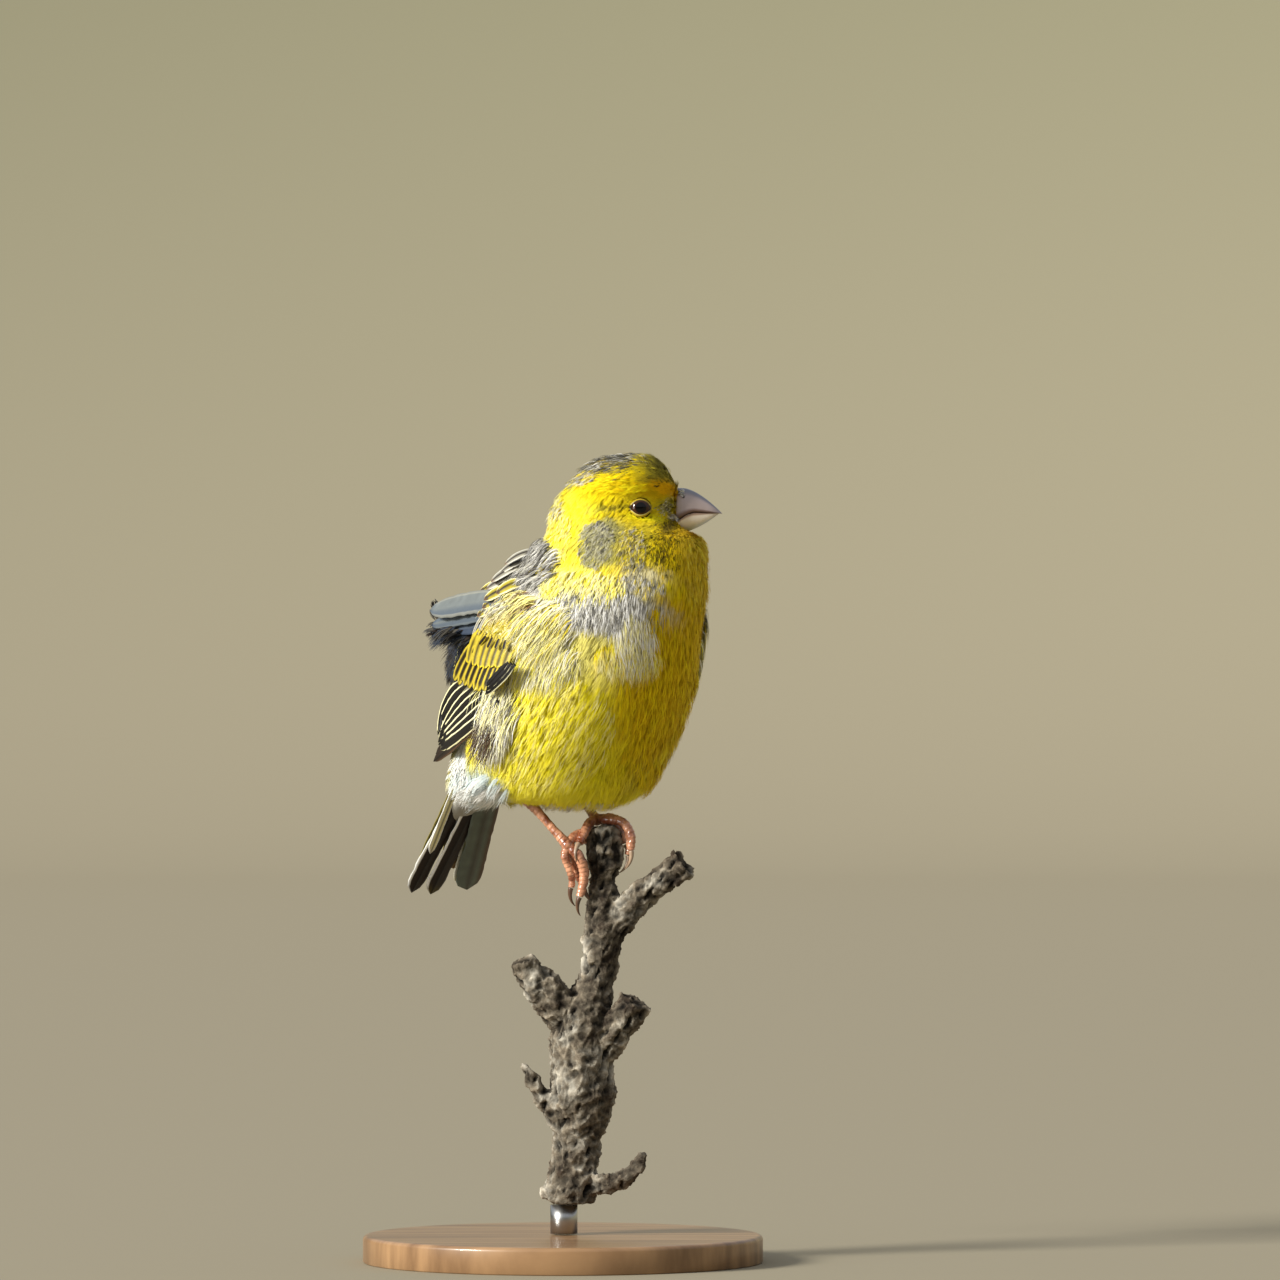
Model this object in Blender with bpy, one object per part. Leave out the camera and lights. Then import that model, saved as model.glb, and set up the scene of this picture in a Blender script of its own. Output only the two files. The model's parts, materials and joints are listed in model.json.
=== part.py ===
"""A life-size Atlantic canary, fluffed up and perched on a dead woody stem, on a plain display stand.

All sizes below are millimetres. The origin is at the centre of the base's underside, with +Z up.
The bird's own directions are ahead (where the breast points), right and up.
"""
import math
import random

import bmesh
import bpy
from mathutils import Matrix, Vector

MM = 0.001
GAP = 0.3
COLLECTION = "canary_on_stem"

# Place and heading of the bird: the body is turned towards the viewer, the head is nearly in profile.
BODY_SPOT = Vector((8.0, -6.0, 128.0))
BODY_HEADING = 50.0
HEAD_HEADING = 6.0

# Level sections of the plumage, belly to crown:
# height, centre ahead of the body's spot, half depth, half width, heading, roundness of the front.
BODY_SECTIONS = (
    (100.2, -11.6, 0.0, 0.0, 50.0, 2.0),
    (100.7, -12.0, 12.6, 9.6, 50.0, 2.0),
    (102.2, -13.2, 17.6, 15.0, 50.0, 2.0),
    (105.2, -13.0, 20.6, 19.4, 50.0, 2.0),
    (110.9, -11.4, 22.4, 22.4, 50.0, 2.0),
    (119.9, -7.9, 24.5, 23.8, 50.0, 2.0),
    (130.5, -4.4, 25.8, 23.9, 50.0, 2.0),
    (141.0, -1.4, 26.3, 22.5, 50.0, 2.0),
    (148.0, 2.2, 24.8, 19.9, 44.0, 2.0),
    (153.0, 5.4, 21.8, 16.8, 34.0, 2.0),
    (157.0, 7.4, 19.4, 14.6, 24.0, 2.0),
    (159.6, 7.6, 17.4, 13.3, 17.0, 2.0),
    (161.4, 6.0, 15.2, 12.6, 13.0, 1.9),
    (163.6, 5.4, 14.0, 11.9, 10.0, 1.8),
    (166.5, 5.9, 13.5, 10.9, 8.0, 1.7),
    (169.8, 7.4, 12.5, 9.9, 6.0, 1.7),
    (172.5, 9.0, 10.2, 8.7, 6.0, 1.8),
    (174.8, 9.9, 7.8, 7.1, 6.0, 1.9),
    (176.4, 10.8, 4.9, 4.6, 6.0, 2.0),
    (177.2, 11.4, 0.0, 0.0, 6.0, 2.0),
)
SECTION_STEPS = 2
SECTION_SIDES = 32

# Parting planes: a point and the upward normal of each.
NECK_PLANE = (Vector((10.0, -10.0, 149.5)), Vector((0.17, -0.10, 1.0)))
HEAD_PLANE = (Vector((11.0, -9.0, 158.6)), Vector((-0.04, 0.0, 1.0)))

# Bill: the centre of its base, then lengths and the half breadths of the two mandibles.
BILL_BASE = Vector((26.2, -10.6, 164.8))
BILL_PITCH = -1.0
UPPER_LENGTH = 8.7
UPPER_RISE = 4.9
UPPER_HALF_WIDTH = 3.7
LOWER_LENGTH = 8.1
LOWER_DROP = 4.0
LOWER_HALF_WIDTH = 3.4
BILL_STATIONS = 7
BILL_SIDES = 8
TIP_DROOP = 0.35
TIP_RISE = 0.1
NOSTRIL_RADIUS = 0.45
NOSTRIL_SPOT = (1.0, 2.75, 3.3)
GAPE_HEIGHT = 0.5
GAPE_CORNERS = ((1.0, 2.9, 0.0), (1.0, 6.0, 0.0), (-2.4, 6.4, -0.7), (-2.4, 4.4, -0.7))

# Face: cuffs of plumage between the head and the bill: distance behind the base, half height, half width.
FACE_CUFFS = ((0.0, 4.9, 4.1), (2.0, 5.8, 5.3), (5.0, 7.6, 7.2), (9.0, 9.0, 8.2))
CUFF_SIDES = 20

# Eye: its place behind and above the bill's base, radii and lid.
EYE_BEHIND = 8.1
EYE_ABOVE = 0.7
EYE_RADIUS = 2.7
EYE_SINK = 1.9
LID_RADIUS = 2.5
LID_THICKNESS = 0.5
LID_OUT = 2.05
LID_AROUND = 18
LID_THROUGH = 5
ORBIT_RADIUS = 4.2
ORBIT_DEPTH = 0.5

# Wing: the line of its leading edge in bird directions, and the outward normal beside it:
# distance from the wrist, ahead, right, up, and the normal's ahead, right, up.
WING_EDGE = (
    (0.0, 7.5, 21.2, 9.0, 0.25, 0.96, 0.10),
    (12.0, -2.5, 23.6, 2.6, 0.05, 0.99, 0.12),
    (24.0, -12.4, 23.6, -4.0, -0.16, 0.96, 0.20),
    (38.0, -24.6, 19.2, -10.2, -0.36, 0.88, 0.30),
    (52.0, -37.0, 13.6, -15.2, -0.42, 0.83, 0.38),
    (66.0, -48.8, 9.0, -18.8, -0.42, 0.82, 0.40),
)
WING_WRAP = 0.016

# Wing: the flesh and small feathers that the vanes grow from: along, low and high edge, half thickness.
WING_CORE = ((2.0, 1.0, 12.0, 1.4), (8.0, 0.0, 17.0, 2.1), (16.0, 0.0, 19.0, 2.4), (24.0, 0.5, 18.0, 1.9),
             (31.0, 2.5, 14.0, 1.0))
CORE_SIDES = 12

# Wing feathers by tier: how many, the roots of the first and last, the tips of the first and last
# (along, across and lift), how much the middle ones outrun that line, and the half width.
WING_TIERS = {
    "primary": (6, (18.0, 2.4, 0.5), (22.0, 5.0, 2.3), (64.0, 1.4, 0.2), (53.0, 7.4, 2.5), 4.0, 2.4),
    "secondary": (5, (19.0, 6.4, 1.8), (19.0, 13.0, 2.6), (50.5, 8.8, 3.2), (44.0, 15.4, 4.4), 0.0, 2.6),
    "tertial": (3, (17.0, 13.4, 2.7), (16.0, 15.6, 3.0), (43.0, 16.6, 5.2), (35.0, 18.2, 6.0), 0.0, 3.2),
    "primary_covert": (2, (12.0, 1.6, 1.0), (15.0, 3.6, 1.6), (31.0, 1.6, 1.7), (35.0, 4.0, 2.6), 0.0, 1.3),
    "greater_covert": (6, (13.0, 4.4, 2.0), (16.0, 14.0, 2.8), (28.5, 5.6, 3.6), (33.5, 14.6, 4.9), 0.0, 1.7),
    "median_covert": (4, (7.0, 4.0, 1.6), (11.0, 13.0, 2.2), (19.0, 4.8, 4.2), (24.5, 14.0, 5.1), 0.0, 1.7),
    "alula": (2, (9.0, 1.2, 1.0), (10.0, 2.6, 1.4), (24.0, 1.2, 2.3), (22.0, 2.8, 3.2), 0.0, 1.1),
}
WING_ROLL = 24.0

# Feathers: place along the vane and share of its width at each station of a long and of a short one.
LONG_VANE = ((0.0, 0.5), (0.3, 1.0), (0.6, 1.0), (0.86, 0.78), (1.0, 0.22))
SHORT_VANE = ((0.0, 0.5), (0.5, 1.0), (0.85, 0.8), (1.0, 0.25))
LONG_VANE_FROM = 20.0
VANE_THICKNESS = 0.5
VANE_SEED = 11
TIP_SPREAD = (0.6, 0.15, 0.1)

# Feathers of the right wing that stand off it: the way they face, the half width, and the root and tip
# of each, all in bird directions.
LIFTED = {
    "tertial": ((-0.38, -0.32, 0.85), 3.2, (
        ((-8.0, 20.5, 13.4), (-33.7, 20.0, 14.8)),
        ((-8.0, 21.3, 11.0), (-33.8, 21.2, 10.4)),
        ((-9.0, 21.8, 8.2), (-32.0, 21.6, 6.4)),
        ((-11.0, 21.5, 5.5), (-29.0, 21.2, 2.2)))),
    "scapular": ((-0.25, 0.8, 0.55), 2.6, (
        ((-8.5, 20.2, 15.4), (-28.1, 18.7, 21.0)),
        ((-6.5, 20.0, 17.0), (-23.0, 18.0, 23.6)),
        ((-4.6, 19.8, 18.2), (-17.2, 17.2, 25.8)),
        ((-3.0, 19.6, 18.8), (-11.5, 15.8, 27.4)))),
}

# Tail: root and direction in bird directions.
TAIL_ROOT = Vector((-27.7, 3.2, -4.0))
TAIL_DIP = 57.0
TAIL_SWING = 0.03

# Tail: the plumage round its feathers' roots: along, half width, half height and middle.
TAIL_CORE = ((-6.0, 8.5, 8.0, -1.0), (6.0, 9.0, 8.0, -1.5), (16.0, 8.0, 6.4, -1.8), (24.0, 6.8, 4.4, -1.8),
             (30.0, 5.4, 2.4, -1.4), (34.0, 3.6, 1.2, -1.0))

# Tail feathers of each side: how many, and along, right and top at the roots and tips of the first and last.
TAIL_PAIRS = 6
TAIL_ROOTS = ((8.0, 1.2, 1.2), (8.0, 3.8, -2.6))
TAIL_TIPS = ((47.0, 2.4, 0.4), (50.5, 7.4, -3.8))
TAIL_HALF_WIDTH = 2.2
TAIL_TILT = 6.0

# Perch: the trunk and its branches, each a list of points with a radius.
TRUNK = (
    (0.2, 0.0, 12.5, 6.2), (1.4, 0.0, 15.8, 6.0), (2.6, 0.0, 21.3, 5.2), (3.2, 0.0, 27.7, 5.4),
    (4.0, 0.0, 33.5, 7.2), (4.2, 0.0, 41.5, 7.4), (4.0, 0.0, 48.2, 7.2), (4.6, 0.0, 55.0, 6.0),
    (7.0, 0.0, 61.4, 4.0), (8.0, 0.0, 66.4, 3.9), (8.8, 0.0, 72.0, 4.4), (9.0, 0.0, 79.0, 3.9),
    (8.8, 0.0, 83.4, 2.8), (8.9, 0.0, 85.6, 3.1), (9.3, 0.0, 88.4, 4.1), (9.3, 0.0, 92.2, 4.3),
    (9.1, 0.0, 95.2, 3.3), (9.0, 0.0, 96.1, 1.6),
)
TRUNK_SIDES = 12
BRANCHES = {
    "right_branch": ((9.2, 0.0, 70.5, 3.4), (12.4, -0.6, 75.4, 3.9), (16.6, -1.6, 79.9, 3.3),
                     (21.6, -2.8, 84.2, 3.1), (25.6, -3.8, 87.0, 3.7), (26.8, -4.1, 87.9, 3.9)),
    "left_stub": ((4.2, 0.5, 49.5, 3.6), (-0.6, -0.6, 55.4, 4.9), (-4.6, -1.6, 60.2, 4.4),
                  (-7.4, -2.3, 63.8, 3.6), (-8.8, -2.8, 66.8, 3.2)),
    "right_stub": ((5.6, 0.0, 44.0, 3.4), (10.4, -1.8, 49.6, 4.2), (14.2, -3.0, 54.4, 4.0),
                   (16.0, -3.8, 57.6, 3.9)),
    "left_spur": ((4.0, 0.4, 27.4, 2.4), (-1.0, -1.6, 31.6, 2.6), (-4.4, -2.8, 36.2, 2.0),
                  (-6.8, -3.4, 40.4, 1.6), (-8.6, -3.8, 43.6, 0.9)),
    "right_twig": ((2.4, 0.0, 16.8, 2.4), (8.0, -2.6, 17.4, 2.5), (13.0, -4.4, 18.4, 2.2),
                   (16.2, -5.2, 20.8, 1.7), (17.8, -5.4, 24.2, 1.1)),
}
BRANCH_SIDES = 8
BARK_ROUGHNESS = 0.11
BARK_SEED = 7

# Stand.
BASE_RADIUS = 44.0
BASE_HEIGHT = 6.0
BASE_BEVEL = 1.0
BASE_SIDES = 56
ROD_RADIUS = 3.0
ROD_SIDES = 20
STEM_CUT = TRUNK[0][2] + 0.4

# Legs: points of each shank from inside the belly to the toes' root, with a half thickness.
SHANKS = {
    "right": ((-12.6, 0.0, 106.4, 1.5), (-7.8, -2.4, 101.6, 1.25), (-5.0, -3.2, 98.6, 0.95),
              (-2.2, -3.9, 95.4, 0.9), (-0.2, -4.4, 93.2, 1.1), (1.0, -4.8, 91.8, 1.25)),
    "left": ((3.2, 12.0, 105.5, 1.5), (4.8, 8.4, 101.4, 1.25), (6.0, 5.4, 99.2, 0.95),
             (6.9, 3.2, 97.9, 1.1), (7.4, 2.2, 97.3, 1.25)),
}
SHANK_SIDES = 8
SCUTE_STEP = 0.07
SCUTE_LENGTH = 1.15

# Toes: points on the pads' centre line with a half thickness; each starts at its shank's end.
TOES = {
    "right_inner": ((1.0, -4.8, 91.8, 0.9), (0.4, -5.2, 89.4, 0.85), (1.4, -4.8, 86.6, 0.8),
                    (2.0, -4.2, 84.2, 0.7), (1.8, -4.0, 82.6, 0.6)),
    "right_middle": ((1.0, -4.8, 91.8, 1.05), (3.4, -5.4, 89.4, 1.1), (4.6, -4.8, 86.2, 1.05),
                     (4.4, -4.4, 83.2, 0.95), (3.7, -4.2, 80.6, 0.8)),
    "right_outer": ((1.0, -4.8, 91.8, 0.9), (2.2, -3.6, 89.4, 0.9), (2.9, -2.2, 86.6, 0.85),
                    (3.8, -1.4, 84.0, 0.75), (4.6, -1.4, 82.2, 0.6)),
    "right_hind": ((1.0, -4.8, 91.8, 1.0), (2.4, -3.0, 93.6, 1.0), (4.0, -0.4, 94.2, 0.95),
                   (4.8, 2.0, 92.8, 0.85)),
    "left_inner": ((7.4, 2.2, 97.3, 0.95), (10.0, -0.6, 97.3, 0.95), (13.2, -2.8, 96.8, 0.95),
                   (15.0, -3.8, 94.0, 0.9), (15.0, -4.0, 90.8, 0.75)),
    "left_middle": ((7.4, 2.2, 97.3, 1.0), (10.8, 0.6, 97.6, 1.0), (13.6, -0.4, 96.2, 0.95),
                    (14.8, -0.8, 92.8, 0.9), (14.4, -1.0, 89.6, 0.7)),
    "left_outer": ((7.4, 2.2, 97.3, 0.9), (10.0, 3.6, 96.8, 0.9), (12.4, 4.4, 94.8, 0.85),
                   (13.6, 4.2, 92.0, 0.7)),
    "left_hind": ((7.4, 2.2, 97.3, 1.0), (5.8, -0.6, 96.6, 1.0), (4.6, -3.4, 94.4, 0.95),
                  (3.6, -4.9, 92.4, 0.85)),
}
TOE_SIDES = 7
LIMB_STEPS = 3
PAD_LENGTH = 1.0
ANKLE_RADIUS = 1.35
CLAW_LENGTH = 4.6
CLAW_RADIUS = 0.5
CLAW_TIP_RADIUS = 0.06
CLAW_CURL = 70.0
CLAW_START = 0.55
CLAW_STEPS = 5
CLAW_SIDES = 6

COLOURS = {
    "plumage": (0.80, 0.68, 0.06, 0.75),
    "wing": (0.16, 0.14, 0.08, 0.6),
    "tail": (0.12, 0.11, 0.08, 0.6),
    "bill": (0.55, 0.47, 0.45, 0.4),
    "eye": (0.02, 0.012, 0.01, 0.1),
    "leg": (0.48, 0.22, 0.15, 0.45),
    "claw": (0.30, 0.20, 0.15, 0.4),
    "bark": (0.25, 0.22, 0.18, 0.9),
    "stand": (0.62, 0.60, 0.56, 0.5),
}


def clear_scene():
    """Removes whatever the file holds before the model is made."""
    for item in list(bpy.data.objects):
        bpy.data.objects.remove(item, do_unlink=True)


def make_material(name):
    """The Principled material of one sub-part."""
    red, green, blue, roughness = COLOURS[name.split(".")[0]]
    material = bpy.data.materials.new(name)
    material.use_nodes = True
    shader = material.node_tree.nodes["Principled BSDF"]
    shader.inputs["Base Color"].default_value = (red, green, blue, 1.0)
    shader.inputs["Roughness"].default_value = roughness
    shader.inputs["Metallic"].default_value = 0.0
    return material


def heading_axes(degrees):
    """Ahead and right for a heading turned from +X towards the viewer."""
    turn = math.radians(degrees)
    ahead = Vector((math.cos(turn), -math.sin(turn), 0.0))
    right = Vector((-math.sin(turn), -math.cos(turn), 0.0))
    return ahead, right


AHEAD, RIGHT = heading_axes(BODY_HEADING)
UP = Vector((0.0, 0.0, 1.0))


def from_bird(ahead, right, up):
    """World place of a point given in the bird's own directions."""
    return BODY_SPOT + AHEAD * ahead + RIGHT * right + UP * up


def bird_direction(ahead, right, up):
    """World direction of a vector given in the bird's own directions."""
    return AHEAD * ahead + RIGHT * right + UP * up


def smooth_row(rows, place):
    """A row of a table read between its rows on a smooth curve."""
    last = len(rows) - 1
    low = min(int(place), last - 1)
    share = place - low
    before, here, there, after = (rows[min(max(low + step, 0), last)] for step in (-1, 0, 1, 2))
    result = []
    for a, b, c, d in zip(before, here, there, after):
        curve = 2 * b + (c - a) * share + (2 * a - 5 * b + 4 * c - d) * share ** 2
        curve += (3 * b - a - 3 * c + d) * share ** 3
        result.append(curve / 2)
    return result


def smooth_rows(rows, steps):
    """The table's rows with more rows read between them."""
    count = (len(rows) - 1) * steps
    return [smooth_row(rows, index / steps) for index in range(count + 1)]


def loft(rings, start_tip=None, end_tip=None):
    """Points and faces of the closed skin through rings with like counts of points."""
    points = [point for ring in rings for point in ring]
    sides = len(rings[0])
    faces = []
    for row in range(len(rings) - 1):
        for side in range(sides):
            a = row * sides + side
            b = row * sides + (side + 1) % sides
            faces.append((a, b, b + sides))
            faces.append((a, b + sides, a + sides))
    first = list(range(sides))
    final = [(len(rings) - 1) * sides + side for side in range(sides)]
    for loop, tip, flip in ((first, start_tip, True), (final, end_tip, False)):
        if tip is None:
            fan = [(loop[0], loop[side], loop[side + 1]) for side in range(1, sides - 1)]
        else:
            points.append(tip)
            top = len(points) - 1
            fan = [(loop[side], loop[(side + 1) % sides], top) for side in range(sides)]
        faces += [face[::-1] for face in fan] if flip else fan
    return points, faces


def add_mesh(name, shape):
    """An object from points in millimetres and faces, with its faces pointing out."""
    points, faces = shape
    mesh = bpy.data.meshes.new(name)
    mesh.from_pydata([Vector(point) * MM for point in points], [], faces)
    work = bmesh.new()
    work.from_mesh(mesh)
    bmesh.ops.remove_doubles(work, verts=work.verts, dist=0.000001)
    bmesh.ops.recalc_face_normals(work, faces=work.faces)
    work.to_mesh(mesh)
    work.free()
    made = bpy.data.objects.new(name, mesh)
    bpy.context.scene.collection.objects.link(made)
    return made


def apply_modifiers(target):
    """Gives the object the mesh that its modifiers make."""
    depsgraph = bpy.context.evaluated_depsgraph_get()
    mesh = bpy.data.meshes.new_from_object(target.evaluated_get(depsgraph))
    target.modifiers.clear()
    target.data = mesh


def largest_body(target):
    """Keeps only the object's largest closed surface."""
    work = bmesh.new()
    work.from_mesh(target.data)
    work.verts.ensure_lookup_table()
    seen = set()
    bodies = []
    for start in work.verts:
        if start in seen:
            continue
        seen.add(start)
        body = [start]
        for vert in body:
            for edge in vert.link_edges:
                other = edge.other_vert(vert)
                if other not in seen:
                    seen.add(other)
                    body.append(other)
        bodies.append(body)

    def spread(body):
        lows = [min(vert.co[axis] for vert in body) for axis in range(3)]
        highs = [max(vert.co[axis] for vert in body) for axis in range(3)]
        return math.dist(lows, highs)

    bodies.sort(key=spread)
    loose = [vert for body in bodies[:-1] for vert in body]
    bmesh.ops.delete(work, geom=loose, context="VERTS")
    work.to_mesh(target.data)
    work.free()


def combine(target, pieces, operation, solver="EXACT"):
    """Joins or cuts the target with a collection of closed pieces, which are then removed."""
    tools = bpy.data.collections.new(target.name + "_pieces")
    for piece in pieces:
        tools.objects.link(piece)
    boolean = target.modifiers.new(operation.lower(), "BOOLEAN")
    boolean.operation = operation
    boolean.operand_type = "COLLECTION"
    boolean.collection = tools
    boolean.solver = solver
    apply_modifiers(target)
    for piece in pieces:
        bpy.data.objects.remove(piece, do_unlink=True)
    bpy.data.collections.remove(tools)
    largest_body(target)
    return target


def grown(source, name, margin=GAP):
    """A copy of a part with its skin moved outward by a margin."""
    copy = bpy.data.objects.new(name, source.data.copy())
    bpy.context.scene.collection.objects.link(copy)
    work = bmesh.new()
    work.from_mesh(copy.data)
    shifts = [vert.normal * vert.calc_shell_factor() * margin * MM for vert in work.verts]
    for vert, shift in zip(work.verts, shifts):
        vert.co += shift
    work.to_mesh(copy.data)
    work.free()
    return copy


def cut_clear(target, neighbours):
    """Cuts the target back to the usual gap from each neighbour."""
    for neighbour in neighbours:
        combine(target, [grown(neighbour, "clearance")], "DIFFERENCE")
    return target


def slice_off(target, point, normal):
    """Cuts away what lies beyond a plane, on the side its normal points to, and caps the cut."""
    work = bmesh.new()
    work.from_mesh(target.data)
    everything = work.verts[:] + work.edges[:] + work.faces[:]
    cut = bmesh.ops.bisect_plane(work, geom=everything, dist=0.0000001, plane_co=point * MM,
                                 plane_no=normal, clear_outer=True)
    rim = [item for item in cut["geom_cut"] if isinstance(item, bmesh.types.BMEdge)]
    caps = bmesh.ops.edgenet_fill(work, edges=rim)["faces"]
    bmesh.ops.triangulate(work, faces=caps)
    bmesh.ops.recalc_face_normals(work, faces=work.faces)
    work.to_mesh(target.data)
    work.free()


def section_ring(height, ahead, depth, width, heading, roundness, grow):
    """One level ring of the plumage, grown outward by a margin."""
    facing, side = heading_axes(heading)
    centre = BODY_SPOT + AHEAD * ahead
    ring = []
    for index in range(SECTION_SIDES):
        angle = 2 * math.pi * index / SECTION_SIDES
        along, across = math.cos(angle), math.sin(angle)
        power = 2.0 / (roundness if along > 0 else 2.0)
        reach = math.copysign(abs(along) ** power, along) * (depth + grow)
        spread = math.copysign(abs(across) ** power, across) * (width + grow)
        place = centre + facing * reach + side * spread
        ring.append(Vector((place.x, place.y, height)))
    return ring


def plumage(name, grow=0.0):
    """The whole body, neck and head as one closed skin."""
    rows = smooth_rows(BODY_SECTIONS, SECTION_STEPS)
    middle = (rows[0][0] + rows[-1][0]) / 2
    rings = []
    for height, ahead, depth, width, heading, roundness in rows[1:-1]:
        lift = grow if height > middle else -grow
        near_pole = max(0.0, 1.0 - width / 16.0)
        rings.append(section_ring(height + lift * near_pole, ahead, depth, width, heading, roundness, grow))
    ends = []
    for row, lift in ((rows[0], -grow), (rows[-1], grow)):
        centre = BODY_SPOT + AHEAD * row[1]
        ends.append(Vector((centre.x, centre.y, row[0] + lift)))
    return add_mesh(name, loft(rings, ends[0], ends[1]))


def tube_rings(rows, sides, profile=None):
    """Rings square to a path of points with radii, carried along it without twist."""
    centres = [Vector(row[:3]) for row in rows]
    rings = []
    across = None
    for index, row in enumerate(rows):
        before = centres[max(index - 1, 0)]
        after = centres[min(index + 1, len(centres) - 1)]
        along = (after - before).normalized()
        if across is None:
            helper = Vector((0.0, 1.0, 0.0)) if abs(along.y) < 0.9 else Vector((1.0, 0.0, 0.0))
            across = along.cross(helper)
        across = (across - along * across.dot(along)).normalized()
        over = along.cross(across)
        ring = []
        for side in range(sides):
            angle = 2 * math.pi * side / sides
            radius = row[3] * (profile(index, side) if profile else 1.0)
            ring.append(centres[index] + (across * math.cos(angle) + over * math.sin(angle)) * radius)
        rings.append(ring)
    return rings


def head_axes():
    """Ahead, left and up of the head, pitched with the bill."""
    ahead, right = heading_axes(HEAD_HEADING)
    pitch = math.radians(BILL_PITCH)
    ahead = ahead * math.cos(pitch) + UP * math.sin(pitch)
    return ahead, -right, ahead.cross(-right)


def from_head(ahead, left, up):
    """World place of a point measured from the centre of the bill's base."""
    axes = head_axes()
    return BILL_BASE + axes[0] * ahead + axes[1] * left + axes[2] * up


def face_cuff():
    """The plumage between the head and the bill, down to the size of the bill's base."""
    rings = []
    for behind, half_height, half_width in FACE_CUFFS:
        ring = []
        for side in range(CUFF_SIDES):
            angle = 2 * math.pi * side / CUFF_SIDES
            ring.append(from_head(-behind, half_width * math.cos(angle), half_height * math.sin(angle)))
        rings.append(ring)
    return add_mesh("face_cuff", loft(rings))


def skin_hit(target, start, direction):
    """The first point of an object's skin from a start along a direction, in millimetres."""
    hit, place, _, _ = target.ray_cast(start * MM, direction)
    return place / MM if hit else None


def ball(name, centre, radius, subdivisions=3):
    """A closed ball of near-even triangles."""
    mesh = bpy.data.meshes.new(name)
    work = bmesh.new()
    bmesh.ops.create_icosphere(work, subdivisions=subdivisions, radius=radius * MM,
                               matrix=Matrix.Translation(centre * MM))
    work.to_mesh(mesh)
    work.free()
    made = bpy.data.objects.new(name, mesh)
    bpy.context.scene.collection.objects.link(made)
    return made


def lid_ring(name, centre, outward):
    """The rim of the eyelids round the eye's opening, drawn out a little fore and aft."""
    ahead, _, up = head_axes()
    forward = (ahead - outward * ahead.dot(outward)).normalized()
    rise = outward.cross(forward)
    points = []
    faces = []
    for step in range(LID_AROUND):
        turn = 2 * math.pi * step / LID_AROUND
        direction = forward * math.cos(turn) * 1.08 + rise * math.sin(turn) * 0.94
        here = step * LID_THROUGH
        following = (step + 1) % LID_AROUND * LID_THROUGH
        for side in range(LID_THROUGH):
            angle = 2 * math.pi * side / LID_THROUGH
            radius = LID_RADIUS + LID_THICKNESS * math.cos(angle)
            points.append(centre + direction * radius + outward * LID_THICKNESS * math.sin(angle))
            other = (side + 1) % LID_THROUGH
            faces.append((here + side, here + other, following + other))
            faces.append((here + side, following + other, following + side))
    return add_mesh(name, (points, faces))


def eye_sites(head):
    """Centre and outward direction of each eye, found on the head's skin."""
    sites = {}
    for side, sign in (("right", -1.0), ("left", 1.0)):
        axes = head_axes()
        inside = from_head(-EYE_BEHIND, 0.0, EYE_ABOVE)
        outward = (axes[1] * sign + axes[0] * 0.22 + axes[2] * 0.06).normalized()
        surface = skin_hit(head, inside + axes[1] * sign * 30.0, -axes[1] * sign)
        sites[side] = (surface - outward * EYE_SINK, outward)
    return sites


def make_head_and_eyes(body):
    """The head with its lids, sockets and mouth line, and the two eyes."""
    head = body.copy()
    head.data = body.data.copy()
    head.name = "head"
    bpy.context.scene.collection.objects.link(head)
    point, normal = HEAD_PLANE
    slice_off(head, point + normal.normalized() * GAP / 2, -normal)
    sites = eye_sites(head)
    hollows = []
    for side, (centre, outward) in sites.items():
        orbit = centre + outward * (EYE_SINK - ORBIT_DEPTH + ORBIT_RADIUS)
        hollows.append(ball("orbit_" + side, orbit, ORBIT_RADIUS))
    combine(head, hollows, "DIFFERENCE")
    rims = []
    for side, (centre, outward) in sites.items():
        rims.append(lid_ring("lid_" + side, centre + outward * LID_OUT, outward))
    combine(head, rims, "UNION")
    sockets = [ball("socket_" + side, site[0], EYE_RADIUS + GAP) for side, site in sites.items()]
    sockets += mouth_corners()
    combine(head, sockets, "DIFFERENCE")
    eyes = [ball("eye_" + side, site[0], EYE_RADIUS) for side, site in sites.items()]
    axes = head_axes()
    slice_off(head, from_head(0.0, 0.0, 0.0) - axes[0] * GAP / 2, axes[0])
    return head, eyes


def mouth_corners():
    """Cutters that carry the line of the mouth a little way back from the bill."""
    cutters = []
    for side, sign in (("right", -1.0), ("left", 1.0)):
        half = GAPE_HEIGHT / 2
        low = [from_head(ahead, out * sign, rise - half) for ahead, out, rise in GAPE_CORNERS]
        high = [from_head(ahead, out * sign, rise + half) for ahead, out, rise in GAPE_CORNERS]
        cutters.append(add_mesh("mouth_corner_" + side, loft([low, high])))
    return cutters


def mandible(name, length, rise, half_width, sign):
    """One half of the bill: a pointed dome over a flat cutting edge, drawn down to its tip."""
    rings = []
    for station in range(BILL_STATIONS):
        share = station / BILL_STATIONS
        height = rise * (1.0 - share ** 1.55) * sign
        width = half_width * (1.0 - share) ** 0.72
        droop = -TIP_DROOP * share ** 2 if sign > 0 else TIP_RISE * share
        ring = []
        for side in range(BILL_SIDES + 1):
            angle = math.pi * side / BILL_SIDES
            up = (GAP / 2) * sign + height * math.sin(angle) ** 0.85 + droop
            ring.append(from_head(GAP / 2 + length * share, width * math.cos(angle), up))
        rings.append(ring)
    tip = from_head(GAP / 2 + length, 0.0, GAP * 0.9 * sign + (-TIP_DROOP if sign > 0 else TIP_RISE))
    return add_mesh(name, loft(rings, end_tip=tip))


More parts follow.
